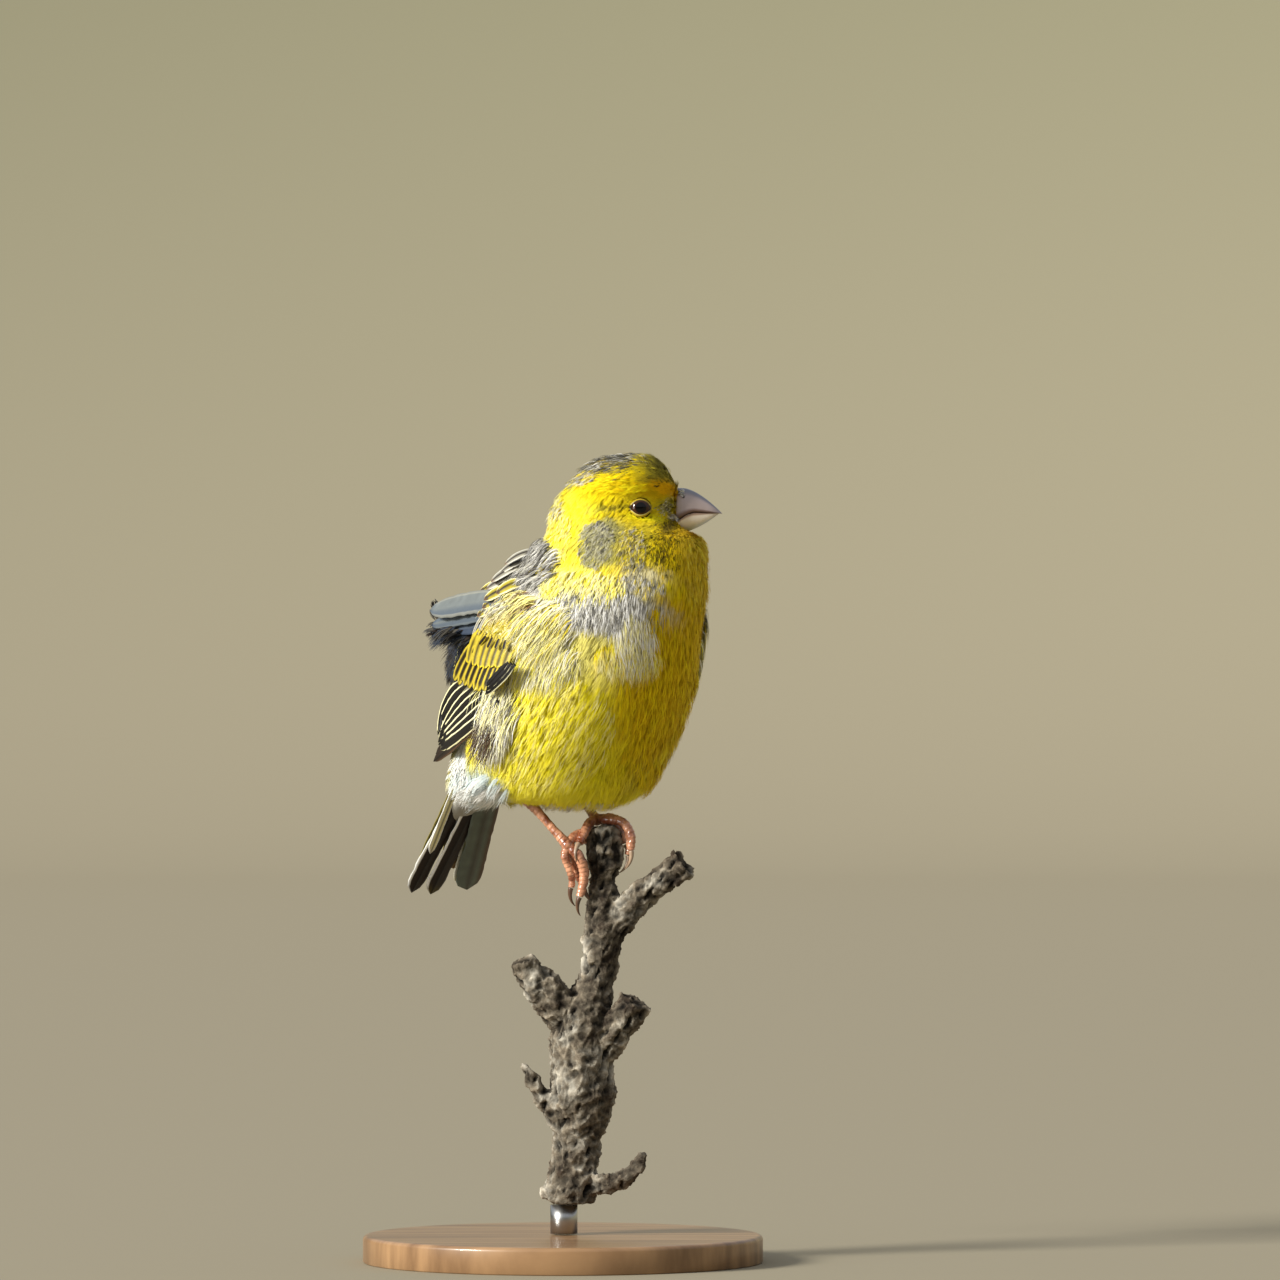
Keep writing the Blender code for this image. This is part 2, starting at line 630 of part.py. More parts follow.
def make_bill():
    """The two mandibles, the upper one with its nostrils."""
    upper = mandible("bill_upper", UPPER_LENGTH, UPPER_RISE, UPPER_HALF_WIDTH, 1.0)
    lower = mandible("bill_lower", LOWER_LENGTH, LOWER_DROP, LOWER_HALF_WIDTH, -1.0)
    holes = []
    for side, sign in (("right", -1.0), ("left", 1.0)):
        ahead, out, rise = NOSTRIL_SPOT
        holes.append(ball("nostril_" + side, from_head(ahead, sign * out, rise), NOSTRIL_RADIUS, 2))
    combine(upper, holes, "DIFFERENCE")
    return [upper, lower]


def make_neck(body):
    """The ruffled collar between the torso and the head."""
    neck = body.copy()
    neck.data = body.data.copy()
    neck.name = "neck"
    bpy.context.scene.collection.objects.link(neck)
    point, normal = HEAD_PLANE
    slice_off(neck, point - normal.normalized() * GAP / 2, normal)
    point, normal = NECK_PLANE
    slice_off(neck, point + normal.normalized() * GAP / 2, -normal)
    return neck


def make_torso(body):
    """The breast, belly and back."""
    torso = body
    torso.name = "torso"
    point, normal = NECK_PLANE
    slice_off(torso, point - normal.normalized() * GAP / 2, normal)
    return torso


def wing_frame(along, across, lift, sign):
    """World place, and the across and outward directions, of a point of the wing."""
    distances = [row[0] for row in WING_EDGE]
    place = 0.0
    for index in range(len(distances) - 1):
        if along >= distances[index]:
            place = index + (along - distances[index]) / (distances[index + 1] - distances[index])
    place = max(0.0, min(place, len(distances) - 1.0))
    row = smooth_row(WING_EDGE, place)
    nearby = smooth_row(WING_EDGE, max(place - 0.05, 0.0))
    ahead = smooth_row(WING_EDGE, min(place + 0.05, len(distances) - 1.0))
    run = bird_direction(*(b - a for a, b in zip(nearby[1:4], ahead[1:4]))).normalized()
    out = bird_direction(*row[4:7])
    out = (out - run * out.dot(run)).normalized()
    rise = out.cross(run)
    if rise.z < 0:
        rise = -rise
    wrap = WING_WRAP * across * across
    bend = math.atan(2 * WING_WRAP * across)
    spot = from_bird(*row[1:4]) + rise * across - out * wrap
    over = (rise * math.cos(bend) - out * math.sin(bend)).normalized()
    facing = (out * math.cos(bend) + rise * math.sin(bend)).normalized()
    spot = spot + facing * lift
    if sign < 0:
        return mirrored(spot, False), mirrored(over, True), mirrored(facing, True)
    return spot, over, facing


def mirrored(vector, is_direction):
    """A point or direction reflected in the body's middle plane."""
    start = Vector((0.0, 0.0, 0.0)) if is_direction else BODY_SPOT
    offset = vector - start
    return start + offset - RIGHT * 2.0 * offset.dot(RIGHT)


def vane(name, stations, place, half_width):
    """One feather's vane; place gives its point, the direction across it and the way it faces."""
    points = []
    for share, width in stations:
        spot, over, facing = place(share)
        reach = over * half_width * width
        rise = facing * VANE_THICKNESS / 2
        points += [spot - reach - rise, spot + reach - rise, spot + reach + rise, spot - reach + rise]
    faces = [(0, 1, 2), (0, 2, 3)]
    for row in range(len(stations) - 1):
        a, b, c, d = (row * 4 + corner for corner in range(4))
        faces += [(a, b, b + 4), (a, b + 4, a + 4), (d, c, c + 4), (d, c + 4, d + 4)]
        faces += [(b, c, c + 4), (b, c + 4, b + 4), (a, d, d + 4), (a, d + 4, a + 4)]
    last = len(points) - 4
    faces += [(last, last + 1, last + 2), (last, last + 2, last + 3)]
    return add_mesh(name, (points, faces))


def between(first, last, share):
    """A row of numbers part of the way from one row to another."""
    return [a + (b - a) * share for a, b in zip(first, last)]


def varied(tip, draw):
    """A feather's tip moved a little, as no two feathers end alike."""
    return [value + draw.uniform(-spread, spread) for value, spread in zip(tip, TIP_SPREAD)]


def tilted(over, facing, degrees):
    """The across and facing directions of a vane rolled about its shaft, its far edge sinking."""
    roll = math.radians(degrees)
    return over * math.cos(roll) - facing * math.sin(roll), facing * math.cos(roll) + over * math.sin(roll)


def wing_vane(name, root, tip, half_width, sign):
    """A vane of the folded wing between two places given as along, across and lift."""
    def place(share):
        spot, over, facing = wing_frame(*between(root, tip, share), sign)
        return spot, *tilted(over, facing, WING_ROLL)

    stations = LONG_VANE if tip[0] - root[0] > LONG_VANE_FROM else SHORT_VANE
    return vane(name, stations, place, half_width)


def wing_vanes(sign):
    """All the tiers of the folded wing."""
    draw = random.Random(VANE_SEED)
    made = []
    for tier, (count, first_root, last_root, first_tip, last_tip, bulge, half_width) in WING_TIERS.items():
        for index in range(count):
            share = index / (count - 1)
            root = between(first_root, last_root, share)
            tip = between(first_tip, last_tip, share)
            tip[0] += bulge * math.sin(math.pi * share)
            made.append(wing_vane(f"{tier}_{index}", root, varied(tip, draw), half_width, sign))
    return made


def lifted_vanes():
    """The tertials and scapulars that stand off the right wing, the tertials showing their undersides."""
    made = []
    for tier, (facing, half_width, feathers) in LIFTED.items():
        for index, (root, tip) in enumerate(feathers):
            start, end = from_bird(*root), from_bird(*tip)
            along = (end - start).normalized()
            face = bird_direction(*facing)
            face = (face - along * face.dot(along)).normalized()
            over = face.cross(along)

            def place(share):
                return start.lerp(end, share), over, face

            made.append(vane(f"{tier}_{index}", LONG_VANE, place, half_width))
    return made


def wing_core(name, sign):
    """The flesh and small feathers of the wing, which the vanes grow from."""
    rings = []
    for along, low, high, half in smooth_rows(WING_CORE, 2):
        ring = []
        for side in range(CORE_SIDES):
            angle = 2 * math.pi * side / CORE_SIDES
            across = (low + high) / 2 + (high - low) / 2 * math.cos(angle)
            lift = half * (0.6 + math.sin(angle))
            ring.append(wing_frame(along, across, lift, sign)[0])
        rings.append(ring)
    return add_mesh(name, loft(rings))


def make_wing(name, sign):
    """The folded wing with its tiers of feathers, clear of the body."""
    vanes = wing_vanes(sign)
    if sign > 0:
        vanes += lifted_vanes()
    wing = combine(wing_core(name, sign), vanes, "UNION")
    return combine(wing, [plumage("clearance", GAP)], "DIFFERENCE")


def tail_axes():
    """Along, right and top directions of the tail."""
    dip = math.radians(TAIL_DIP)
    along = bird_direction(-math.cos(dip), 0.0, -math.sin(dip))
    top = bird_direction(-math.sin(dip), 0.0, math.cos(dip))
    return along, RIGHT, top


def from_tail(along, right, top):
    """World place of a point measured from the tail's root."""
    axes = tail_axes()
    return from_bird(*TAIL_ROOT) + axes[0] * along + axes[1] * (right + along * TAIL_SWING) + axes[2] * top


def tail_root_form():
    """The plumage of rump and vent that the tail feathers grow from."""
    rings = []
    for along, half_width, half_height, middle in TAIL_CORE:
        ring = []
        for side in range(CORE_SIDES):
            angle = 2 * math.pi * side / CORE_SIDES
            top = middle + half_height * math.sin(angle)
            ring.append(from_tail(along, half_width * math.cos(angle), top))
        rings.append(ring)
    return add_mesh("tail", loft(rings))


def tail_vanes():
    """The tail feathers of both sides, the middle pair on top."""
    draw = random.Random(VANE_SEED + 1)
    made = []
    for side in (-1.0, 1.0):
        over, facing = tilted(RIGHT * side, tail_axes()[2], TAIL_TILT)
        for index in range(TAIL_PAIRS):
            share = index / (TAIL_PAIRS - 1)
            root = between(*TAIL_ROOTS, share)
            tip = varied(between(*TAIL_TIPS, share), draw)

            def place(part):
                along, right, top = between(root, tip, part)
                return from_tail(along, right * side, top), over, facing

            made.append(vane(f"tail_feather_{index}", LONG_VANE, place, TAIL_HALF_WIDTH))
    return made


def make_tail():
    """The tail with its fan of feathers, clear of the body."""
    tail = combine(tail_root_form(), tail_vanes(), "UNION")
    return combine(tail, [plumage("clearance", GAP)], "DIFFERENCE")


def scuted(rows, step_length):
    """A limb's rows with the raised edge of a scute every few steps."""
    fine = smooth_rows(rows, LIMB_STEPS)
    result = []
    travelled = 0.0
    for index, row in enumerate(fine):
        if index:
            travelled += math.dist(row[:3], fine[index - 1][:3])
        swell = SCUTE_STEP if int(travelled / step_length) % 2 else 0.0
        result.append((row[0], row[1], row[2], row[3] + swell))
    return result


def make_shank(side):
    """One bare shank with its scutes."""
    rows = scuted(SHANKS[side], SCUTE_LENGTH)
    return add_mesh("shank_" + side, loft(tube_rings(rows, SHANK_SIDES)))


def make_foot(side):
    """The four toes of a foot, joined where they leave the shank."""
    toes = []
    for name in TOES:
        if name.startswith(side):
            toes.append(add_mesh("toe_" + name, loft(tube_rings(scuted(TOES[name], PAD_LENGTH), TOE_SIDES))))
    ankle = Vector(SHANKS[side][-1][:3])
    foot = ball("foot_" + side, ankle, ANKLE_RADIUS, 2)
    return combine(foot, toes, "UNION")


def make_claw(name):
    """A horn claw curling on from its toe's last pad."""
    rows = TOES[name]
    end = Vector(rows[-1][:3])
    along = (end - Vector(rows[-2][:3])).normalized()
    inward = Vector((TRUNK[-1][0], TRUNK[-1][1], end.z)) - end
    inward = (inward - along * inward.dot(along)).normalized()
    place = end + along * (rows[-1][3] * CLAW_START + GAP)
    claw = []
    for step in range(CLAW_STEPS + 1):
        share = step / CLAW_STEPS
        radius = CLAW_RADIUS * (1.0 - share) ** 0.8 + CLAW_TIP_RADIUS
        claw.append((place.x, place.y, place.z, radius))
        turn = math.radians(CLAW_CURL) * (share - 0.15)
        heading = along * math.cos(turn) + inward * math.sin(turn)
        place = place + heading * CLAW_LENGTH / CLAW_STEPS
    rings = tube_rings(claw[:-1], CLAW_SIDES)
    return add_mesh("claw_" + name, loft(rings, end_tip=Vector(claw[-1][:3])))


def rough_profile(seed, strength):
    """Seeded lumps of bark, by ring and side."""
    draw = random.Random(seed)
    table = {}

    def profile(index, side):
        if (index, side) not in table:
            table[index, side] = 1.0 + draw.uniform(-strength, strength)
        return table[index, side]

    return profile


def perch_pieces(grow=0.0):
    """The trunk and the branches of the cut stem, grown outward by a margin."""
    made = []
    rows = [row[:3] + (row[3] + grow,) for row in TRUNK]
    rows = [tuple(row) for row in smooth_rows(rows, 2)]
    profile = rough_profile(BARK_SEED, BARK_ROUGHNESS)
    made.append(add_mesh("perch", loft(tube_rings(rows, TRUNK_SIDES, profile))))
    for index, (name, points) in enumerate(BRANCHES.items()):
        rows = [row[:3] + (row[3] + grow,) for row in points]
        rows = [tuple(row) for row in smooth_rows(rows, 2)]
        profile = rough_profile(BARK_SEED + 1 + index, BARK_ROUGHNESS * 1.3)
        made.append(add_mesh(name, loft(tube_rings(rows, BRANCH_SIDES, profile))))
    return made


def make_perch(grow=0.0):
    """The cut length of stem as one solid."""
    trunk, *branches = perch_pieces(grow)
    combine(trunk, branches, "UNION")
    slice_off(trunk, Vector((0.0, 0.0, STEM_CUT)), -UP)
    return trunk


def turned(name, profile):
    """A solid turned about the upright axis from a profile of radius and height."""
    rings = []
    for radius, height in profile:
        ring = []
        for side in range(BASE_SIDES):
            angle = 2 * math.pi * side / BASE_SIDES
            ring.append(Vector((radius * math.cos(angle), radius * math.sin(angle), height)))
        rings.append(ring)
    return add_mesh(name, loft(rings))


def make_stand():
    """The flat base and the short rod up to the stem."""
    base = turned("stand_base", ((BASE_RADIUS, 0.0), (BASE_RADIUS, BASE_HEIGHT - BASE_BEVEL),
                                 (BASE_RADIUS - BASE_BEVEL, BASE_HEIGHT)))
    ends = (BASE_HEIGHT + GAP, STEM_CUT - GAP)
    rod_rows = [(TRUNK[0][0], TRUNK[0][1], height, ROD_RADIUS) for height in ends]
    rod = add_mesh("stand_rod", loft(tube_rings(rod_rows, ROD_SIDES)))
    return [base, rod]


def finish(parts):
    """Puts each part in the collection with its own material."""
    home = bpy.data.collections.new(COLLECTION)
    bpy.context.scene.collection.children.link(home)
    for part, look in parts:
        for holder in list(part.users_collection):
            holder.objects.unlink(part)
        home.objects.link(part)
        part.data.materials.clear()
        part.data.materials.append(make_material(look + "." + part.name))
        part.data.name = part.name


def main():
    """Makes every part of the model."""
    clear_scene()
    body = combine(plumage("body"), [face_cuff()], "UNION")
    head, eyes = make_head_and_eyes(body)
    neck = make_neck(body)
    torso = make_torso(body)
    parts = [(head, "plumage"), (neck, "plumage"), (torso, "plumage")]
    parts += [(eye, "eye") for eye in eyes]
    parts += [(mandible_part, "bill") for mandible_part in make_bill()]
    for name, sign in (("wing_right", 1.0), ("wing_left", -1.0)):
        parts.append((make_wing(name, sign), "wing"))
    parts.append((make_tail(), "tail"))
    limbs = []
    for side in SHANKS:
        foot = make_foot(side)
        combine(foot, [make_perch(GAP)], "DIFFERENCE")
        cut_clear(foot, limbs)
        limbs.append(foot)
    for side in SHANKS:
        shank = make_shank(side)
        combine(shank, [plumage("clearance", GAP)], "DIFFERENCE")
        combine(shank, [make_perch(GAP)], "DIFFERENCE")
        cut_clear(shank, limbs)
        limbs.append(shank)
    parts += [(limb, "leg") for limb in limbs]
    for name in TOES:
        claw = make_claw(name)
        combine(claw, [make_perch(GAP)], "DIFFERENCE")
        cut_clear(claw, limbs)
        limbs.append(claw)
        parts.append((claw, "claw"))
    parts.append((make_perch(), "bark"))
    parts += [(piece, "stand") for piece in make_stand()]
    finish(parts)


main()
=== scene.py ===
"""The looks of a fluffed-up wild canary on a dead stem, as a life-size still model on a plain stand.

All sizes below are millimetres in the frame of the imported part, unless a name says otherwise. Places on the
bird's near side are given as they are seen from the front, in steps of PICTURE_STEP millimetres.
"""
import json
import math

import bpy
import numpy as np
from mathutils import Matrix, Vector

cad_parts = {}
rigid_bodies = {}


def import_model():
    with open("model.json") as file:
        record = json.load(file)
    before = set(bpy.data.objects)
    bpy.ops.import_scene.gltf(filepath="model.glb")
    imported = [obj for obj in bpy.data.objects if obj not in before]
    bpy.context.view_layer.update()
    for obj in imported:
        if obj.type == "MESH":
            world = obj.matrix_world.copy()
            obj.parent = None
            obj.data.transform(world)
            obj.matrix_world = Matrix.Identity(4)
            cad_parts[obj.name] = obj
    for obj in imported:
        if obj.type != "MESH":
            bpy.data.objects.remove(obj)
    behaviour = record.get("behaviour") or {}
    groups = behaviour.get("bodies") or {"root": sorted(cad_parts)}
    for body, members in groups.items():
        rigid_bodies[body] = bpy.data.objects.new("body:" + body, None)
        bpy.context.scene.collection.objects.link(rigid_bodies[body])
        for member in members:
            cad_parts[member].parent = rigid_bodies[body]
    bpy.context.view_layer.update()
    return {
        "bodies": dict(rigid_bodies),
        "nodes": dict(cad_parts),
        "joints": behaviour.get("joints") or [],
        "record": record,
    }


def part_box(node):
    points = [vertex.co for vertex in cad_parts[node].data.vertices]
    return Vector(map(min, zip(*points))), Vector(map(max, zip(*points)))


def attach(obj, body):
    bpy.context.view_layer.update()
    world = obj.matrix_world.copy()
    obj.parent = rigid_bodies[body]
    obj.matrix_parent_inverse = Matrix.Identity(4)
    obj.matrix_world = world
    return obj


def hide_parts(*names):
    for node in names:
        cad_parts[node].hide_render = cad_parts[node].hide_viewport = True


MM = 0.001
SEED = 4
PIECE_TRIANGLES = 180000
PATCH = 0.003

# The picture's plane: how many millimetres one step across or up is, and which step is the origin.
PICTURE_STEP = 0.22
PICTURE_ORIGIN = (563.0, 1262.0)

# Place and heading of the bird.
BODY_SPOT = np.array((8.0, -6.0, 128.0))
BODY_HEADING = 50.0
HEAD_HEADING = 6.0
UP = np.array((0.0, 0.0, 1.0))

# Level sections of the plumage, belly to crown:
# height, centre ahead of the body's spot, half depth, half width, heading, roundness of the front.
BODY_SECTIONS = (
    (100.2, -11.6, 0.0, 0.0, 50.0, 2.0),
    (100.7, -12.0, 12.6, 9.6, 50.0, 2.0),
    (102.2, -13.2, 17.6, 15.0, 50.0, 2.0),
    (105.2, -13.0, 20.6, 19.4, 50.0, 2.0),
    (110.9, -11.4, 22.4, 22.4, 50.0, 2.0),
    (119.9, -7.9, 24.5, 23.8, 50.0, 2.0),
    (130.5, -4.4, 25.8, 23.9, 50.0, 2.0),
    (141.0, -1.4, 26.3, 22.5, 50.0, 2.0),
    (148.0, 2.2, 24.8, 19.9, 44.0, 2.0),
    (153.0, 5.4, 21.8, 16.8, 34.0, 2.0),
    (157.0, 7.4, 19.4, 14.6, 24.0, 2.0),
    (159.6, 7.6, 17.4, 13.3, 17.0, 2.0),
    (161.4, 6.0, 15.2, 12.6, 13.0, 1.9),
    (163.6, 5.4, 14.0, 11.9, 10.0, 1.8),
    (166.5, 5.9, 13.5, 10.9, 8.0, 1.7),
    (169.8, 7.4, 12.5, 9.9, 6.0, 1.7),
    (172.5, 9.0, 10.2, 8.7, 6.0, 1.8),
    (174.8, 9.9, 7.8, 7.1, 6.0, 1.9),
    (176.4, 10.8, 4.9, 4.6, 6.0, 2.0),
    (177.2, 11.4, 0.0, 0.0, 6.0, 2.0),
)
SKIN_ROWS = 220
SKIN_SIDES = 240

# How deep the skin lies under the coat's surface at each height.
COAT_DEPTH = ((100.0, 2.2), (110.0, 2.8), (140.0, 2.8), (150.0, 2.2), (158.0, 1.5), (166.0, 0.9), (178.0, 0.9))

# Bill: the centre of its base, then lengths, heights and half breadths.
BILL_BASE = np.array((26.2, -10.6, 164.8))
BILL_PITCH = -1.0
UPPER_BILL = (8.7, 4.9, 3.7)
LOWER_BILL = (8.1, 4.0, 3.4)
BILL_GAP = 0.3
TIP_DROOP = 0.35
TIP_RISE = 0.1
BILL_ROOT = 1.2
GAPE_DROP = 1.3
GAPE_LENGTH = 0.34

# Face: cuffs of plumage between the head and the bill: distance behind the base, half height, half width.
FACE_CUFFS = ((0.0, 4.9, 4.1), (2.0, 5.8, 5.3), (5.0, 7.6, 7.2), (9.0, 9.0, 8.2))

# Eye: radius of the ball, half length and half height of the opening, outer edge of the lids.
EYE_RADIUS = 2.7
EYE_OPENING = (1.8, 1.5)
EYE_SQUEEZE = 1.2
LID_EDGE = 2.1
ORBIT_RADIUS = 4.4
ORBIT_DEPTH = 0.7

# Wing: the line of its leading edge in bird directions, and the outward normal beside it:
# distance from the wrist, ahead, right, up, and the normal's ahead, right, up.
WING_EDGE = (
    (0.0, 7.5, 21.2, 9.0, 0.25, 0.96, 0.10),
    (12.0, -2.5, 23.6, 2.6, 0.05, 0.99, 0.12),
    (24.0, -12.4, 23.6, -4.0, -0.16, 0.96, 0.20),
    (38.0, -24.6, 19.2, -10.2, -0.36, 0.88, 0.30),
    (52.0, -37.0, 13.6, -15.2, -0.42, 0.83, 0.38),
    (66.0, -48.8, 9.0, -18.8, -0.42, 0.82, 0.40),
)
WING_WRAP = 0.016
WING_ROLL = -20.0

# Feathers of the folded wing as seen from the front: the look, half width, how many, the roots of the first
# and last, the tips of the first and last, how far the middle tips outrun that line, how the first and last
# bow, how far the first stands in front of the wing's sheet and how much farther each next one does.
WING_ROWS = (
    ("tertial", 2.4, 3, (500, 622), (496, 604), (447, 668), (446, 640), (0, 0), (0, 0), (0, 0), 1.0, 0.4),
    ("wing_tip", 1.5, 3, (500, 702), (488, 696), (431, 763), (437, 748), (0, 0), (0, 0), (0, 0), -1.0, 0.4),
    ("primary", 1.3, 7, (500, 700), (462, 680), (438, 751), (437, 733), (0, 0), (0, 2), (-6, -3), 0.6, 0.9),
    ("secondary", 0.8, 6, (488, 640), (478, 620), (450, 692), (457, 660), (-1, 0), (-3, -3), (-4, -3), 1.8, 0.8),
    ("greater_covert", 1.15, 10, (514, 656), (474, 642), (500, 688), (453, 681), (0, 5), (-1, 1), (-2, 0), 4.0, 0.4),
    ("median_covert", 1.4, 7, (514, 640), (480, 630), (503, 666), (468, 664), (0, 3), (0, 0), (-2, 0), 6.0, 0.4),
    ("spot_covert", 0.55, 4, (507, 640), (487, 636), (504, 649), (481, 645), (0, 1), (0, 0), (0, 0), 9.0, 0.2),
    ("primary_covert", 0.8, 3, (517, 664), (510, 662), (486, 693), (488, 685), (0, 0), (0, 2), (0, 0), 6.0, 0.6),
    ("pale_covert", 0.4, 2, (506, 602), (510, 606), (473, 638), (478, 636), (0, 0), (-6, -4), (-6, -4), 8.0, 0.3),
)
SHEET_RISE = 0.55

# Wing: the fleshy part that the small coverts grow from: along, low and high edge, half thickness.
WING_CORE = ((1.0, 1.0, 11.0, 1.2), (8.0, 0.0, 16.5, 2.0), (16.0, 0.0, 18.0, 2.2), (24.0, 0.5, 17.0, 1.7),
             (31.0, 2.5, 13.0, 0.8))

# Feathers that stand off the right wing: the look, the half width, and the root and tip as seen from the
# front with their depth behind the stem.
# The two lower feathers' looks are darker copies of the pale underside: painted shade for lying under the pale one.
LIFTED = (
    ("lifted_deep_shade", 2.0, (494, 624, -10.8), (431, 634, 5.8)),
    ("lifted_half_shade", 1.9, (496, 613, -12.2), (432, 625, 4.6)),
    ("lifted_pale", 2.8, (503, 599, -14.4), (431.5, 611, 3.2)),
)
LIFTED_FACE = (-0.10, -0.92, 0.38)
LIFTED_BOW = 0.5

# Dark curled barbs at the tips of those feathers, and the down between them and the wing: the corners of the
# box their roots are seen in, the depths if they aren't on the wing's sheet, the way they lie, the range of
# their lengths and how many.
FRAYED = (
    ((434, 607), (441, 622), (3.6, 6.0), (-0.35, 0.1, 0.8), (1.4, 2.8), 18),
    ((434, 622), (442, 640), (3.6, 6.0), (-0.9, 0.1, -0.35), (1.6, 3.2), 26),
    ((446, 626), (488, 638), (-4.0, 2.0), (-0.8, 0.2, -0.55), (3.5, 6.0), 120),
    ((458, 634), (480, 648), None, (-0.55, 0.3, -0.8), (4.0, 6.5), 130),
    ((452, 648), (464, 674), None, (-0.35, 0.2, -0.9), (3.0, 5.0), 110),
)

# Tail: root and direction in bird directions, and its feathers' roots and tips from the middle outward.
TAIL_ROOT = (-27.7, 3.2, -4.0)
TAIL_DIP = 57.0
TAIL_SWING = 0.03
TAIL_CORE = ((-6.0, 8.0, 7.4, -1.0), (6.0, 8.4, 7.2, -1.5), (16.0, 7.2, 5.6, -1.8), (24.0, 5.8, 3.4, -1.8),
             (30.0, 4.4, 1.6, -1.4), (33.0, 3.0, 0.6, -1.0))
TAIL_PAIRS = 4
TAIL_ROOTS = ((8.0, 1.2, 1.2), (8.0, 3.0, -0.4))
TAIL_TIPS = ((42.0, 2.4, 0.4), (45.0, 4.6, -1.0))
TAIL_HALF_WIDTH = 2.6
TAIL_TILT = 6.0

# Undermost tail feathers as seen from the front: the look, the half width, root and tip, and the level
# under the tail's middle plane.
TAIL_UNDER = (
    ("tail_dark", 2.5, (474, 770), (408.5, 896), -3.0),
    ("tail_outer", 1.1, (463, 768), (428, 856), -4.0),
    ("tail_edged", 2.5, (484, 786), (427.5, 898), -3.8),
    ("tail_pale", 2.4, (484, 790), (457, 888), -3.0),
    ("tail_broad", 3.6, (492, 786), (464, 894), -4.4),
)

# Feather vanes: places along the vane and shares of its width, and places across it.
VANE_STEPS = 22
VANE_ACROSS = (-1.0, -0.78, -0.70, -0.4, -0.07, 0.0, 0.07, 0.4, 0.70, 0.78, 1.0)
VANE_THICKNESS = 0.1
TIP_SPREAD = (0.6, 0.15, 0.1)

# Legs: points of each shank from inside the belly to the toes' root, with a half thickness.
SHANKS = {
    "right": ((-12.6, 0.0, 106.4, 1.5), (-7.8, -2.4, 101.6, 1.25), (-5.0, -3.2, 98.6, 0.95),
              (-2.2, -3.9, 95.4, 0.9), (-0.2, -4.4, 93.2, 1.1), (1.0, -4.8, 91.8, 1.25)),
    "left": ((3.2, 12.0, 105.5, 1.5), (4.8, 8.4, 101.4, 1.25), (6.0, 5.4, 99.2, 0.95),
             (6.9, 3.2, 97.9, 1.1), (7.4, 2.2, 97.3, 1.25)),
}
TOES = {
    "right_inner": ((1.0, -4.8, 91.8, 0.9), (0.4, -5.2, 89.4, 0.85), (1.4, -4.8, 86.6, 0.8),
                    (2.0, -4.2, 84.2, 0.7), (1.8, -4.0, 82.6, 0.6)),
    "right_middle": ((1.0, -4.8, 91.8, 1.05), (3.4, -5.4, 89.4, 1.1), (4.6, -4.8, 86.2, 1.05),
                     (4.4, -4.4, 83.2, 0.95), (3.7, -4.2, 80.6, 0.8)),
    "right_outer": ((1.0, -4.8, 91.8, 0.9), (2.2, -3.6, 89.4, 0.9), (2.9, -2.2, 86.6, 0.85),
                    (3.8, -1.4, 84.0, 0.75), (4.6, -1.4, 82.2, 0.6)),
    "right_hind": ((1.0, -4.8, 91.8, 1.0), (2.4, -3.0, 93.6, 1.0), (4.0, -0.4, 94.2, 0.95),
                   (4.8, 2.0, 92.8, 0.85)),
    "left_inner": ((7.4, 2.2, 97.3, 0.95), (10.0, -0.6, 97.3, 0.95), (13.2, -2.8, 96.8, 0.95),
                   (15.0, -3.8, 94.0, 0.9), (15.0, -4.0, 90.8, 0.75)),
    "left_middle": ((7.4, 2.2, 97.3, 1.0), (10.8, 0.6, 97.6, 1.0), (13.6, -0.4, 96.2, 0.95),
                    (14.8, -0.8, 92.8, 0.9), (14.4, -1.0, 89.6, 0.7)),
    "left_outer": ((7.4, 2.2, 97.3, 0.9), (10.0, 3.6, 96.8, 0.9), (12.4, 4.4, 94.8, 0.85),
                   (13.6, 4.2, 92.0, 0.7)),
    "left_hind": ((7.4, 2.2, 97.3, 1.0), (5.8, -0.6, 96.6, 1.0), (4.6, -3.4, 94.4, 0.95),
                  (3.6, -4.9, 92.4, 0.85)),
}
# Hollows of the stem: place, radius and depth; and the broken cup that ends its right branch.
STEM_HOLLOWS = (
    ((7.2, -3.6, 93.8), 0.9, 1.2), ((8.6, -3.8, 92.6), 0.8, 1.2), ((7.3, -3.9, 89.0), 1.0, 1.2),
    ((9.6, -4.1, 88.8), 0.9, 1.1), ((11.4, -3.4, 91.4), 1.1, 1.2), ((10.4, -3.6, 94.4), 0.8, 1.0),
    ((12.4, -2.4, 88.6), 1.1, 1.0), ((8.4, -3.9, 86.4), 0.8, 0.6),
)
CUP_END = (27.6, -4.3, 88.5)
CUP_AXIS = (1.2, -0.3, 0.9)
CUP_RADIUS = 3.1
CUP_DEPTH = 2.4

LIMB_SIDES = 20
SCUTE_LENGTH = 1.1
SCUTE_STEP = 0.15
PAD_SWELL = 0.18
CLAW_LENGTH = 4.6
CLAW_RADIUS = 0.5
CLAW_TIP_RADIUS = 0.06
CLAW_CURL = 70.0
STEM_AXIS = (9.0, 0.0)

# The way that the light falls.
KEY_WAY = (0.78, 0.47, -0.40)

# Stand.
BASE_RADIUS = 44.0
BASE_HEIGHT = 6.0
BASE_BEVEL = 1.0
ROD_RADIUS = 3.0
ROD_SPOT = (0.2, 0.0)
STAND_SIDES = 128

